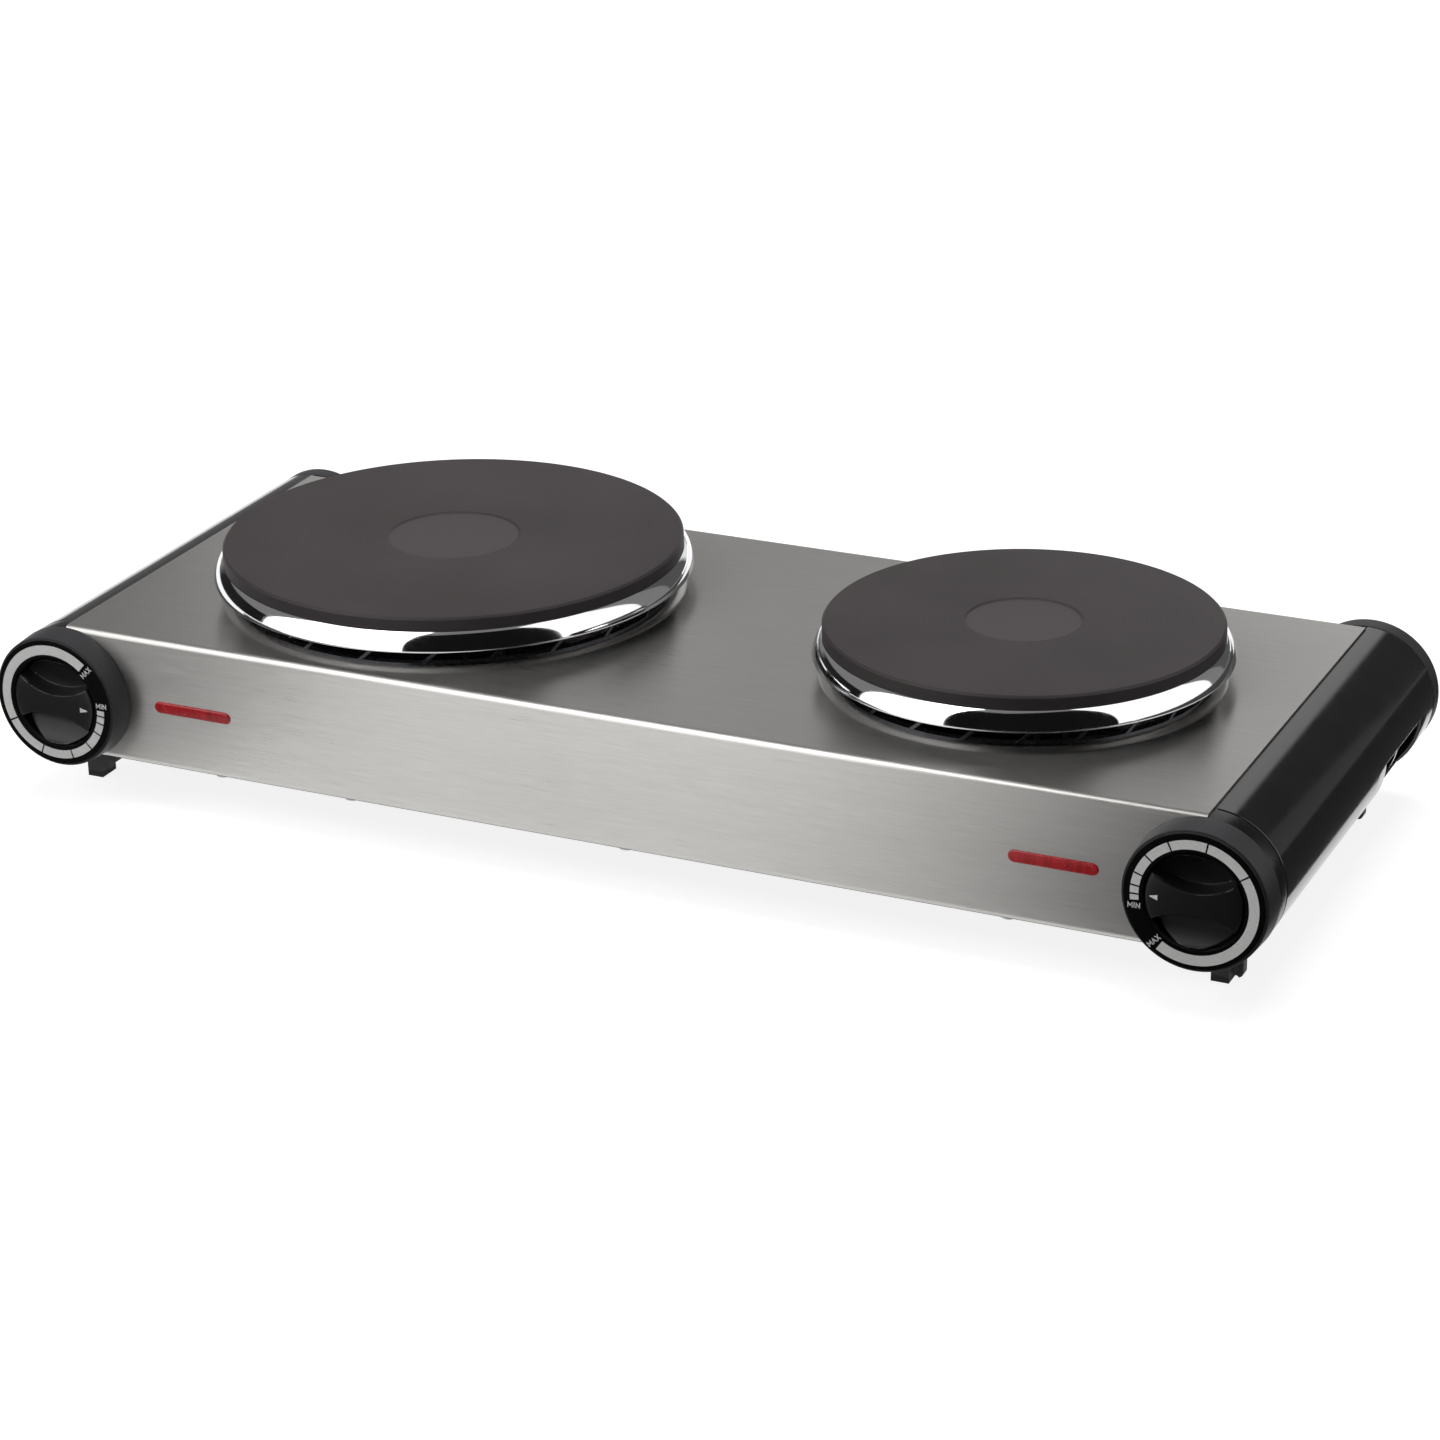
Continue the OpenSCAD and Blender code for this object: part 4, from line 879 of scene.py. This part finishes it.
def rear_cap(side):
    centre = Vector((OUT[side] * dial_x, cover_high.y, axis_z))
    half = {"forward": True, "steps": 96, "sweep": 180}
    start = half_turn(side)
    verts, faces = joined(
        turned(rounded(CAP_DISC, steps=8), centre, forward=True),
        turned(rounded(CAP_PLUG), centre, start=start, **half),
        turned(rounded(CAP_LAND), centre, start=start + 180, **half),
    )
    name, slot = f"{side}_cap_disc", "matte_black_plastic"
    add_piece(name, verts, faces, "housing", BEZEL_BLACK, [f"{side}_rear_cap"], sharp=CRISP)


for side in OUT:
    bezel(side)
    rear_cap(side)

# %% [markdown]
# ## Dial scales and words
# The silver segments grow wider from the low end to the high end. Text objects could set the
# words, but they need a font, so the words are built from straight strokes, which suits the
# letters that they need. All print stands a tenth of a millimetre proud of the face.

# %% Angles of the scale, seen from the front, from the low end clockwise
MARKS = [188, 181, 172.4, 160, 140.4, 115, 78.6, 34.2, -124]
SCALE_TURN = {"right": 0.0, "left": -187.5}
KNOB_TURN = {"right": 0.0, "left": -183.5}
PRINT = 0.12 * MM
print_back = front_y - FACE_OUT * MM
print_front = print_back - PRINT


def dial_point(side, radius, angle, y):
    a = math.radians(angle + SCALE_TURN[side])
    across, up = radius * MM * math.cos(a), radius * MM * math.sin(a)
    return Vector((OUT[side] * dial_x + across, y, axis_z + up))


print("segments on a dial:", len(MARKS) - 1, "over", MARKS[0] - MARKS[-1], "degrees")


# %% Silver segments
SCALE_R = 20.7
SCALE_WIDE, SCALE_GROWTH = 3.3, 0.9
HALF_GAP = 0.85  # degrees


def scale_segments(side):
    span = MARKS[0] - MARKS[-1]
    segments = []
    for first, last in zip(MARKS, MARKS[1:]):
        a0, a1 = first - HALF_GAP, last + HALF_GAP
        loops = []
        for a in np.linspace(a0, a1, max(3, int((a0 - a1) / 2.5))):
            r_out = SCALE_R + SCALE_WIDE + SCALE_GROWTH * (MARKS[0] - a) / span
            edges = [(SCALE_R, print_back), (r_out, print_back), (r_out, print_front), (SCALE_R, print_front)]
            loops.append([dial_point(side, r, a, y) for r, y in edges])
        segments.append(stacked(loops))
    verts, faces = joined(*segments)
    name, solid = f"{side}_scale_print", f"{side}_dial_scale"
    return add_piece(name, verts, faces, "housing", SILVER_INK, [solid])


print("scale band:", SCALE_WIDE, "mm wide at the low end,", SCALE_WIDE + SCALE_GROWTH, "at the high end")

# %% Words from strokes
LETTERS = {
    "M": [[(0, 0), (0, 1)], [(0, 1), (0.5, 0.25)], [(0.5, 0.25), (1, 1)], [(1, 1), (1, 0)]],
    "I": [[(0.5, 0), (0.5, 1)]],
    "N": [[(0, 0), (0, 1)], [(0, 1), (1, 0)], [(1, 0), (1, 1)]],
    "A": [[(0, 0), (0.5, 1)], [(0.5, 1), (1, 0)], [(0.2, 0.35), (0.8, 0.35)]],
    "X": [[(0, 0), (1, 1)], [(0, 1), (1, 0)]],
}
WIDTHS = {"M": 1.6, "I": 0.3, "N": 1.35, "A": 1.45, "X": 1.35}
LETTER_HIGH, LETTER_GAP, STROKE = 2.0, 0.6, 0.34
WORD_R = 22.9
WORDS = {"MIN": (192.4, 0), "MAX": (230.5, 45)}  # angle on the dial, tilt of the line


def stroke_bar(a, b):
    """A flat bar from a to b, a little longer at both ends so that the strokes meet."""
    along = (b - a).normalized()
    across = along.cross(Vector((0, 1, 0))) * STROKE / 2 * MM
    over = along * STROKE * 0.4 * MM
    a, b = a - over, b + over
    corners = [a - across, a + across, b + across, b - across]
    return stacked([corners, [corner + Vector((0, -PRINT, 0)) for corner in corners]])


def word(side, text, angle, tilt):
    total = sum(WIDTHS[c] for c in text) + LETTER_GAP * (len(text) - 1)
    centre = dial_point(side, WORD_R, angle, print_back)
    turn = math.radians(tilt)
    right, up = Vector((math.cos(turn), 0, math.sin(turn))), Vector((-math.sin(turn), 0, math.cos(turn)))
    bars, cursor = [], -total / 2
    for c in text:
        for ends in LETTERS[c]:
            a, b = (
                centre + right * (cursor + x * WIDTHS[c]) * MM + up * (y - 0.5) * LETTER_HIGH * MM
                for x, y in ends
            )
            bars.append(stroke_bar(a, b))
        cursor += WIDTHS[c] + LETTER_GAP
    return joined(*bars)


for side in OUT:
    scale_segments(side)
    verts, faces = joined(*(word(side, text, *place) for text, place in WORDS.items()))
    add_piece(f"{side}_dial_words", verts, faces, "housing", WHITE_INK)

# %% [markdown]
# ## Knobs
# The knob is a disc with a low dome and two finger troughs that leave a waisted bar. Carving
# the troughs with booleans would leave hard edges all round. A height field over a polar grid
# gives the moulded shape: the dome is lowered to the trough floor wherever the trough is
# deeper, with a soft step at the bar so that its edge catches light.


# %% Height of the knob face at a point
KNOB_R = 18.4
DOME_EDGE, DOME_RISE = 12.2, 1.8
TROUGH_R, TROUGH_AT, TROUGH_HIGH = 14.0, 7.0, 21.0  # radius and middle of the scooped floor
WAIST_R, WAIST_AT = 26.5, 31.0  # the arc that draws the waist of the bar
FLOOR_SOFT, WAIST_SOFT = (0.35, 1.1), (0.2, 1.5)  # place and width of the soft edges


def soft_step(value, place, width):
    """Rises smoothly from 0 to 1 over the width round the place."""
    t = min(1.0, max(0.0, (value - place) / width + 0.5))
    return t * t * (3 - 2 * t)


def knob_height(x, z):
    rho = math.hypot(x, z) / KNOB_R
    dome = DOME_EDGE + DOME_RISE * math.sqrt(max(0.0, 1 - min(1.0, rho) ** 2.4))
    up = abs(z)
    inside = WAIST_R - math.hypot(x, up - WAIST_AT)
    reach = TROUGH_R**2 - (up - TROUGH_AT) ** 2
    depth = dome - TROUGH_HIGH + math.sqrt(reach) if reach > 0 else 0.0
    depth = depth * soft_step(depth, *FLOOR_SOFT) if depth > 0 else 0.0
    return dome - depth * soft_step(inside, *WAIST_SOFT)


print(f"bar {knob_height(0, 0):.1f} mm high, trough floor {knob_height(0, 9):.1f} mm")


# %% Build the knobs
KNOB_STEPS = 240
ROUND_FROM, ROUND_BY = 17.9, 1.6  # the rim rounds off outside this radius
KNOB_BACK = (
    (KNOB_R, 11.2), (KNOB_R, 4.3), (18.2, 4.0), (16.4, 4.0), (16.3, 7.0),
    (6.5, 7.0), (6.4, 4.0), (3.1, 4.0), (3.1, 10.6),
)  # radius and height from the rim round to the shaft's bore
POINTER = ((13.2, 1.05), (16.3, 0.25))  # radius and half width, from the broad end to the tip


def knob_point(side, x, z, h):
    turn = math.radians(KNOB_TURN[side])
    c, s = math.cos(turn), math.sin(turn)
    centre = Vector((OUT[side] * dial_x, front_y, axis_z))
    return centre + Vector((x * c - z * s, -h, x * s + z * c)) * MM


def knob_loop(side, r, height_at):
    turns = [2 * math.pi * k / KNOB_STEPS for k in range(KNOB_STEPS)]
    spots = [(r * math.cos(a), r * math.sin(a)) for a in turns]
    return [knob_point(side, x, z, height_at(x, z)) for x, z in spots]


def knob(side):
    loops = []
    for r in [*np.linspace(0.4, ROUND_FROM, 84), 18.15, 18.33, KNOB_R]:
        drop = max(0.0, r - ROUND_FROM) ** 2 * ROUND_BY
        loops.append(knob_loop(side, r, lambda x, z: knob_height(x, z) - drop))
    for r, high in KNOB_BACK:
        loops.append(knob_loop(side, r, lambda x, z: high))
    verts, faces = stacked(loops)
    name, body, slot = f"{side}_knob_grip", f"{side}_dial", "matte_black_plastic"
    return add_piece(name, verts, faces, body, KNOB_BLACK, [f"{side}_knob"], sharp=50)


def pointer(side):
    """A small wedge, sunk a tenth of a millimetre into the end of the bar."""
    ends = []
    for r, half in POINTER:
        corners = ((half, 0.08), (-half, 0.08), (-half, -0.1), (half, -0.1))
        ends.append([knob_point(side, -r, z, knob_height(-r, z) + h) for z, h in corners])
    verts, faces = stacked(ends)
    return add_piece(f"{side}_knob_pointer", verts, faces, f"{side}_dial", WHITE_INK)


for side in OUT:
    knob(side)
    pointer(side)

# %% [markdown]
# ## Pilot lamps
# A lens is a pill of red plastic that stands a little out of its window. A bevelled block would
# do from afar. Stacked pill-shaped loops that shrink towards the front round its edge off
# better, and the same loops make the flange behind the panel and the tube round the lamp.


# %% Loft the lenses
LENS_WIDE, LENS_HIGH = 35.2, 4.8
LENS_LOOPS = (
    (4, 4, 2.4), (4, 4, 0.82), (0, 0, 0.81), (0, 0, -0.25),
    (-0.15, -0.15, -0.45), (-0.5, -0.5, -0.62), (-1.1, -1.1, -0.7),
)  # extra width, extra height and depth of each loop
TUBE_LOOPS = ((2.3, 3.1, 2.39), (2.3, 3.1, 10.7), (0, 1.2, 10.7), (0, 1.2, 2.41))


def pill_loop(centre, width, height, y, steps=24):
    straight = (width - height) / 2
    loop = []
    for k in range(2 * steps):
        a = -math.pi / 2 + math.pi * (k + 0.5) / steps
        end = straight if k < steps else -straight
        across, up = end + math.cos(a) * height / 2, math.sin(a) * height / 2
        loop.append(centre + Vector((across, y, up)) * MM)
    return loop


def pill_stack(centre, table):
    return stacked([pill_loop(centre, LENS_WIDE + w, LENS_HIGH + h, y) for w, h, y in table])


def lens(side):
    low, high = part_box(f"{side}_lamp_lens")
    centre = Vector(((low.x + high.x) / 2, front_y, axis_z))
    verts, faces = joined(pill_stack(centre, LENS_LOOPS), pill_stack(centre, TUBE_LOOPS))
    return add_piece(f"{side}_lens_red", verts, faces, "housing", RED, [f"{side}_lamp_lens"])


for side in OUT:
    lens(side)

# %% [markdown]
# ## Feet and cord inlet
# Feet and gland keep their CAD shape, with edges eased like moulded plastic. The outer prong of
# each foot is seen below the cover, where it is broader and hangs lower than in the solid. Moving
# the points of that prong alone is simpler than building the foot again.


# %% Swell the outer prong of a foot
SWELL, REACH_DOWN = 2.8, 2.2
PRONG_FROM = 4.2  # distance outwards from the dial axis at which the prong starts


def swell_prong(foot, place_name):
    """Draw the prong outwards, and let its top follow the round of the cover again."""
    side = place_name.split("_")[1]
    inward = 1 if place_name.startswith("front") else -1
    low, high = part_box(f"foot_{place_name}")
    middle = (low.y + high.y) / 2
    moved = 0
    for vert in foot.data.vertices:
        out_by = (OUT[side] * vert.co.x - dial_x) / MM
        if inward * (vert.co.y - middle) < 0.5 * MM or out_by < PRONG_FROM:
            continue
        round_r = math.hypot(out_by, (vert.co.z - axis_z) / MM)
        vert.co.x += OUT[side] * SWELL * MM
        if vert.co.z < low.z + 4 * MM:
            vert.co.z -= REACH_DOWN * MM
        if abs(round_r - cover_r / MM) < 0.2:
            vert.co.z = axis_z - math.sqrt(round_r**2 - (out_by + SWELL) ** 2) * MM
        moved += 1
    print(foot.name, "points moved:", moved)


# %% Ease the feet and the gland
for place_name in ("front_left", "front_right", "rear_left", "rear_right"):
    name = f"foot_block_{place_name}"
    foot = eased_copy(f"foot_{place_name}", "housing", FOOT_BLACK, name, ease=0.35)
    swell_prong(foot, place_name)
eased_copy("cord_inlet_gland", "housing", FOOT_BLACK, "cord_gland_eased", ease=0.4)

# %% [markdown]
# ## Floor and world
# The floor and the world look white to the camera and in mirrors, while they light the object
# more gently. Turning the lamps up until the floor is white would bleach the metal too. So part
# of the floor's white is a glow that only camera, mirror and glass rays see, and the rest is
# lit paint, which keeps a soft shadow. Far away the floor fades into the white of the world.


# %% Helpers for stage materials
def empty_tree(owner):
    owner.use_nodes = True
    owner.node_tree.nodes.clear()
    return owner.node_tree


def seen_or_mirrored(tree):
    """1 for rays from the camera, from mirrors and through glass, 0 for rays that light things."""
    path = tree.nodes.new("ShaderNodeLightPath")
    value = path.outputs["Is Camera Ray"]
    for kind in ("Is Glossy Ray", "Is Transmission Ray"):
        either = tree.nodes.new("ShaderNodeMath")
        either.operation = "MAXIMUM"
        tree.links.new(value, either.inputs[0])
        tree.links.new(path.outputs[kind], either.inputs[1])
        value = either.outputs[0]
    return value


def mixed(tree, share, first, second):
    """A shader that goes from first to second as share goes from 0 to 1."""
    mix = tree.nodes.new("ShaderNodeMixShader")
    tree.links.new(share, mix.inputs["Fac"])
    tree.links.new(first.outputs[0], mix.inputs[1])
    tree.links.new(second.outputs[0], mix.inputs[2])
    return mix


print("stage helpers ready")

# %% Floor paint
FLOOR_LIFT = 0.86  # share of white that the glow gives
FLOOR_GREY = 0.3
FADE_FROM, FADE_TO = 1.2, 4.0  # metres from the object


def floor_paint():
    paint = bpy.data.materials.new("floor_white")
    tree = empty_tree(paint)
    lit = tree.nodes.new("ShaderNodeBsdfDiffuse")
    lit.inputs["Color"].default_value = (FLOOR_GREY, FLOOR_GREY, FLOOR_GREY, 1)
    lift = tree.nodes.new("ShaderNodeMath")
    lift.operation = "MULTIPLY"
    lift.inputs[1].default_value = FLOOR_LIFT
    tree.links.new(seen_or_mirrored(tree), lift.inputs[0])
    glow = tree.nodes.new("ShaderNodeEmission")
    tree.links.new(lift.outputs[0], glow.inputs["Strength"])
    near = tree.nodes.new("ShaderNodeAddShader")
    tree.links.new(lit.outputs[0], near.inputs[0])
    tree.links.new(glow.outputs[0], near.inputs[1])
    coords = tree.nodes.new("ShaderNodeTexCoord")
    reach = tree.nodes.new("ShaderNodeVectorMath")
    reach.operation = "LENGTH"
    tree.links.new(coords.outputs["Object"], reach.inputs[0])
    fade = tree.nodes.new("ShaderNodeMapRange")
    fade.inputs["From Min"].default_value = FADE_FROM
    fade.inputs["From Max"].default_value = FADE_TO
    tree.links.new(reach.outputs["Value"], fade.inputs["Value"])
    far = tree.nodes.new("ShaderNodeEmission")
    far.inputs["Strength"].default_value = 1.0
    out = tree.nodes.new("ShaderNodeOutputMaterial")
    mix = mixed(tree, fade.outputs["Result"], near, far)
    tree.links.new(mix.outputs[0], out.inputs["Surface"])
    return paint


FLOOR_WHITE = floor_paint()
print("floor paint:", len(FLOOR_WHITE.node_tree.nodes), "nodes")


# %% Floor
def studio_floor():
    work = bmesh.new()
    bmesh.ops.create_circle(work, cap_ends=True, segments=96, radius=9.0)
    mesh = bpy.data.meshes.new("studio_floor")
    work.to_mesh(mesh)
    work.free()
    mesh.materials.append(FLOOR_WHITE)
    floor = placed("studio_floor", mesh)
    return floor


print("floor:", studio_floor().name)


# %% World
def studio_world(strength=0.25):
    world = bpy.data.worlds.new("studio_world")
    bpy.context.scene.world = world
    tree = empty_tree(world)
    ambient = tree.nodes.new("ShaderNodeBackground")
    ambient.inputs["Strength"].default_value = strength
    white = tree.nodes.new("ShaderNodeBackground")
    for shade in (ambient, white):
        shade.inputs["Color"].default_value = (1, 1, 1, 1)
    out = tree.nodes.new("ShaderNodeOutputWorld")
    mix = mixed(tree, seen_or_mirrored(tree), ambient, white)
    tree.links.new(mix.outputs[0], out.inputs["Surface"])
    return world


print("world:", studio_world().name)

# %% [markdown]
# ## Softboxes
# A lamp that shows in the metal leaves a hard white shape there. So light and reflections are
# set apart: two softboxes light the object and stay out of reflections, a broad one above and
# a smaller one from the left front.


# %% Softboxes
def softbox(name, place, wide, high, power):
    lamp = bpy.data.lights.new(name, "AREA")
    lamp.shape = "RECTANGLE"
    lamp.size, lamp.size_y = wide, high
    lamp.energy = power
    box = placed(name, lamp)
    box.location = place
    box.rotation_mode = "QUATERNION"
    aim = Vector((0, 0, 0.05))
    box.rotation_quaternion = (aim - Vector(place)).to_track_quat("-Z", "Y")
    box.visible_glossy = False
    print(f"{name}: {wide} by {high} m, {power} W")
    return box


softbox("top_softbox", (0.0, 0.25, 1.6), 1.4, 1.0, 22)
softbox("left_softbox", (-1.1, -0.8, 1.1), 0.9, 0.7, 8)

# %% [markdown]
# ## Boards and a grey tent
# Metal shows what surrounds it, so a few boards are put up that reflections alone can see. An
# image of a studio could do it, but boards can be placed one at a time. Pale boards at the left
# and dark ones at the front right meet at a sharp line, which draws the white patches and the
# black core of polished chrome. The left boards are split by height: the low one is dimmer,
# because the deck mirrors it to a viewer behind. A pale board behind gives the deck its sheen
# and the covers their highlight. Boards just above the floor give the front panel its bright
# middle and keep the foot of the right cover dark. A grey tent closes the room above.


# %% A board that only reflections see
def shade_ramp(tree, amount, shades):
    ramp = tree.nodes.new("ShaderNodeValToRGB")
    stops = ramp.color_ramp.elements
    for place, _ in shades[1:-1]:
        stops.new(place)
    for stop, (place, shade) in zip(stops, shades):
        stop.position = place
        stop.color = (shade, shade, shade, 1)
    tree.links.new(amount, ramp.inputs["Fac"])
    return ramp.outputs["Color"]


def glowing_cloth(name, axis, reach, shades):
    """Shades are (share, brightness) stops over the given reach along axis."""
    cloth = bpy.data.materials.new(name + "_cloth")
    tree = empty_tree(cloth)
    spot = tree.nodes.new("ShaderNodeTexCoord")
    along = tree.nodes.new("ShaderNodeVectorMath")
    along.operation = "DOT_PRODUCT"
    along.inputs[1].default_value = axis
    tree.links.new(spot.outputs["Object"], along.inputs[0])
    share = tree.nodes.new("ShaderNodeMapRange")
    share.inputs["From Min"].default_value, share.inputs["From Max"].default_value = reach
    tree.links.new(along.outputs["Value"], share.inputs["Value"])
    glow = tree.nodes.new("ShaderNodeEmission")
    tree.links.new(shade_ramp(tree, share.outputs["Result"], shades), glow.inputs["Color"])
    out = tree.nodes.new("ShaderNodeOutputMaterial")
    tree.links.new(glow.outputs[0], out.inputs["Surface"])
    return cloth


def mirror_only(name, verts, faces, axis, reach, shades):
    mesh = bpy.data.meshes.new(name)
    mesh.from_pydata(verts, [], faces)
    mesh.materials.append(glowing_cloth(name, axis, reach, shades))
    board = placed(name, mesh)
    board.visible_camera = False
    board.visible_diffuse = False
    board.visible_shadow = False
    board.visible_transmission = False
    print(f"{name}: shades from {min(s for _, s in shades)} to {max(s for _, s in shades)}")
    return board


print("boards hide from camera, diffuse, shadow and glass rays")


# %% Tent
def tent(radius=4.0, steps=48, rows=16):
    heights = np.linspace(0, math.radians(89.5), rows + 1)
    turns = np.linspace(0, 2 * math.pi, steps, endpoint=False)
    verts = [
        Vector((math.cos(e) * math.cos(a), math.cos(e) * math.sin(a), math.sin(e))) * radius
        for e in heights for a in turns
    ]
    faces = []
    for r in range(rows):
        for k in range(steps):
            low, high, m = r * steps, (r + 1) * steps, (k + 1) % steps
            faces.append((low + k, low + m, high + m, high + k))
    faces.append(tuple(range(rows * steps, (rows + 1) * steps)))
    return mirror_only("grey_tent", verts, faces, Vector((0, 0, 1)), (0, radius), [(0, 0.22), (1, 0.2)])


tent()

# %% Upright boards
LEFT_LINE = (-1.64, -0.59), (-0.058, -0.59)
BACK_SHADES = [
    (0, 0.09), (0.32, 0.09), (0.37, 0.9), (0.5, 0.82), (0.72, 0.42), (0.85, 0.5), (0.95, 0.75), (1, 0.7),
]
UPRIGHT = {  # the two ends of the line, low and high edge, and the shades along the line
    "left_low_board": (*LEFT_LINE, 0.002, 0.42, [(0, 1.5), (0.61, 1.4), (0.7, 2.0), (1, 2.0)]),
    "left_board": (*LEFT_LINE, 0.42, 1.9, [(0, 2.1), (0.61, 2.0), (0.7, 3.6), (0.877, 3.7), (1, 3.5)]),
    "dark_board": ((0.35, -1.75), (1.75, -0.35), 0.002, 3.2, [(0, 0.006), (0.94, 0.006), (1, 0.2)]),
    "dark_front_board": ((-0.5, -1.75), (0.35, -1.75), 0.002, 3.2, [(0, 0.006), (1, 0.006)]),
    "dark_left_board": ((-1.68, -0.57), (-1.9, 1.2), 0.002, 0.6, [(0, 0.01), (0.8, 0.02), (1, 0.2)]),
    "right_board": ((0.62, -0.2), (0.62, 0.42), 0.08, 1.6, [(0, 1.5), (1, 1.2)]),
    "back_board": ((1.2, 1.9), (-1.7, 2.3), 0.1, 2.0, BACK_SHADES),
    "low_back_board": ((0.62, 2.1), (-0.2, 2.2), 0.0, 0.5, [(0, 1.3), (1, 1.3)]),
}


def upright(name, start, end, low, high, shades):
    start, end = Vector((*start, 0)), Vector((*end, 0))
    along = (end - start).normalized()
    bottom, top = Vector((0, 0, low)), Vector((0, 0, high))
    corners = [start + bottom, end + bottom, end + top, start + top]
    return mirror_only(name, corners, [(0, 1, 2, 3)], along, (along.dot(start), along.dot(end)), shades)


for name, place in UPRIGHT.items():
    upright(name, *place)

# %% Boards on the floor
ABOVE_FLOOR = 0.0005
FRONT_SHADES = [
    (0, 0.08), (0.18, 0.15), (0.27, 0.9), (0.55, 0.76), (0.63, 0.58), (0.75, 0.08), (1, 0.03),
]
FLAT = {  # two opposite corners, the reach of the shades in X, and the shades
    "front_board": ((-1.1, -1.3), (1.1, -0.12), (-0.4, 0.4), FRONT_SHADES),
    "side_board": ((0.285, -0.4), (4.2, 4.2), (0.285, 4.2), [(0, 0.06), (1, 0.06)]),
}


def flat(name, near, far, reach, shades):
    (x0, y0), (x1, y1) = near, far
    corners = [(x, y, ABOVE_FLOOR) for x, y in ((x0, y0), (x1, y0), (x1, y1), (x0, y1))]
    return mirror_only(name, corners, [(0, 1, 2, 3)], Vector((1, 0, 0)), reach, shades)


for name, place in FLAT.items():
    flat(name, *place)

# %% [markdown]
# ## Camera
# The camera looks down at the right front corner with a long lens, so the sides stay nearly
# parallel. Typing in a place and three turns would work, but nobody can read them. Instead its
# place is set by an aim point on the deck, two angles, a distance and a small roll.


# %% Place the camera
SENSOR = 36.0
FRAME_PX, FOCAL_PX = 1440, 3977.7
AZIMUTH, ELEVATION, ROLL = (math.radians(v) for v in (25.466, 22.954, 1.173))
DISTANCE = 1.50638
AIM_X, AIM_BACK = 0.044533, 0.012577  # the aim point on the deck, from the middle and the front


def place_camera():
    aim = Vector((AIM_X, front_y + AIM_BACK, deck_z))
    flat_part = math.cos(ELEVATION)
    ahead = Vector((
        -math.sin(AZIMUTH) * flat_part,
        math.cos(AZIMUTH) * flat_part,
        -math.sin(ELEVATION),
    ))
    level = ahead.cross(Vector((0, 0, 1))).normalized()
    down = ahead.cross(level)
    right = level * math.cos(ROLL) + down * math.sin(ROLL)
    below = down * math.cos(ROLL) - level * math.sin(ROLL)
    view = bpy.data.cameras.new("view_camera")
    view.sensor_width = SENSOR
    view.lens = FOCAL_PX / FRAME_PX * SENSOR
    view.clip_start, view.clip_end = 0.05, 60
    camera = placed("view_camera", view)
    turn = Matrix((right, -below, -ahead)).transposed().to_4x4()
    camera.matrix_world = Matrix.Translation(aim - ahead * DISTANCE) @ turn
    bpy.context.scene.camera = camera
    return camera


camera = place_camera()
print("lens", round(camera.data.lens, 2), "mm at", [round(v, 3) for v in camera.location])

# %% [markdown]
# ## Finish
# The plain colour transform shows colours as they are set.

# %% Set the colour transform
scene = bpy.context.scene
scene.view_settings.view_transform = "Standard"
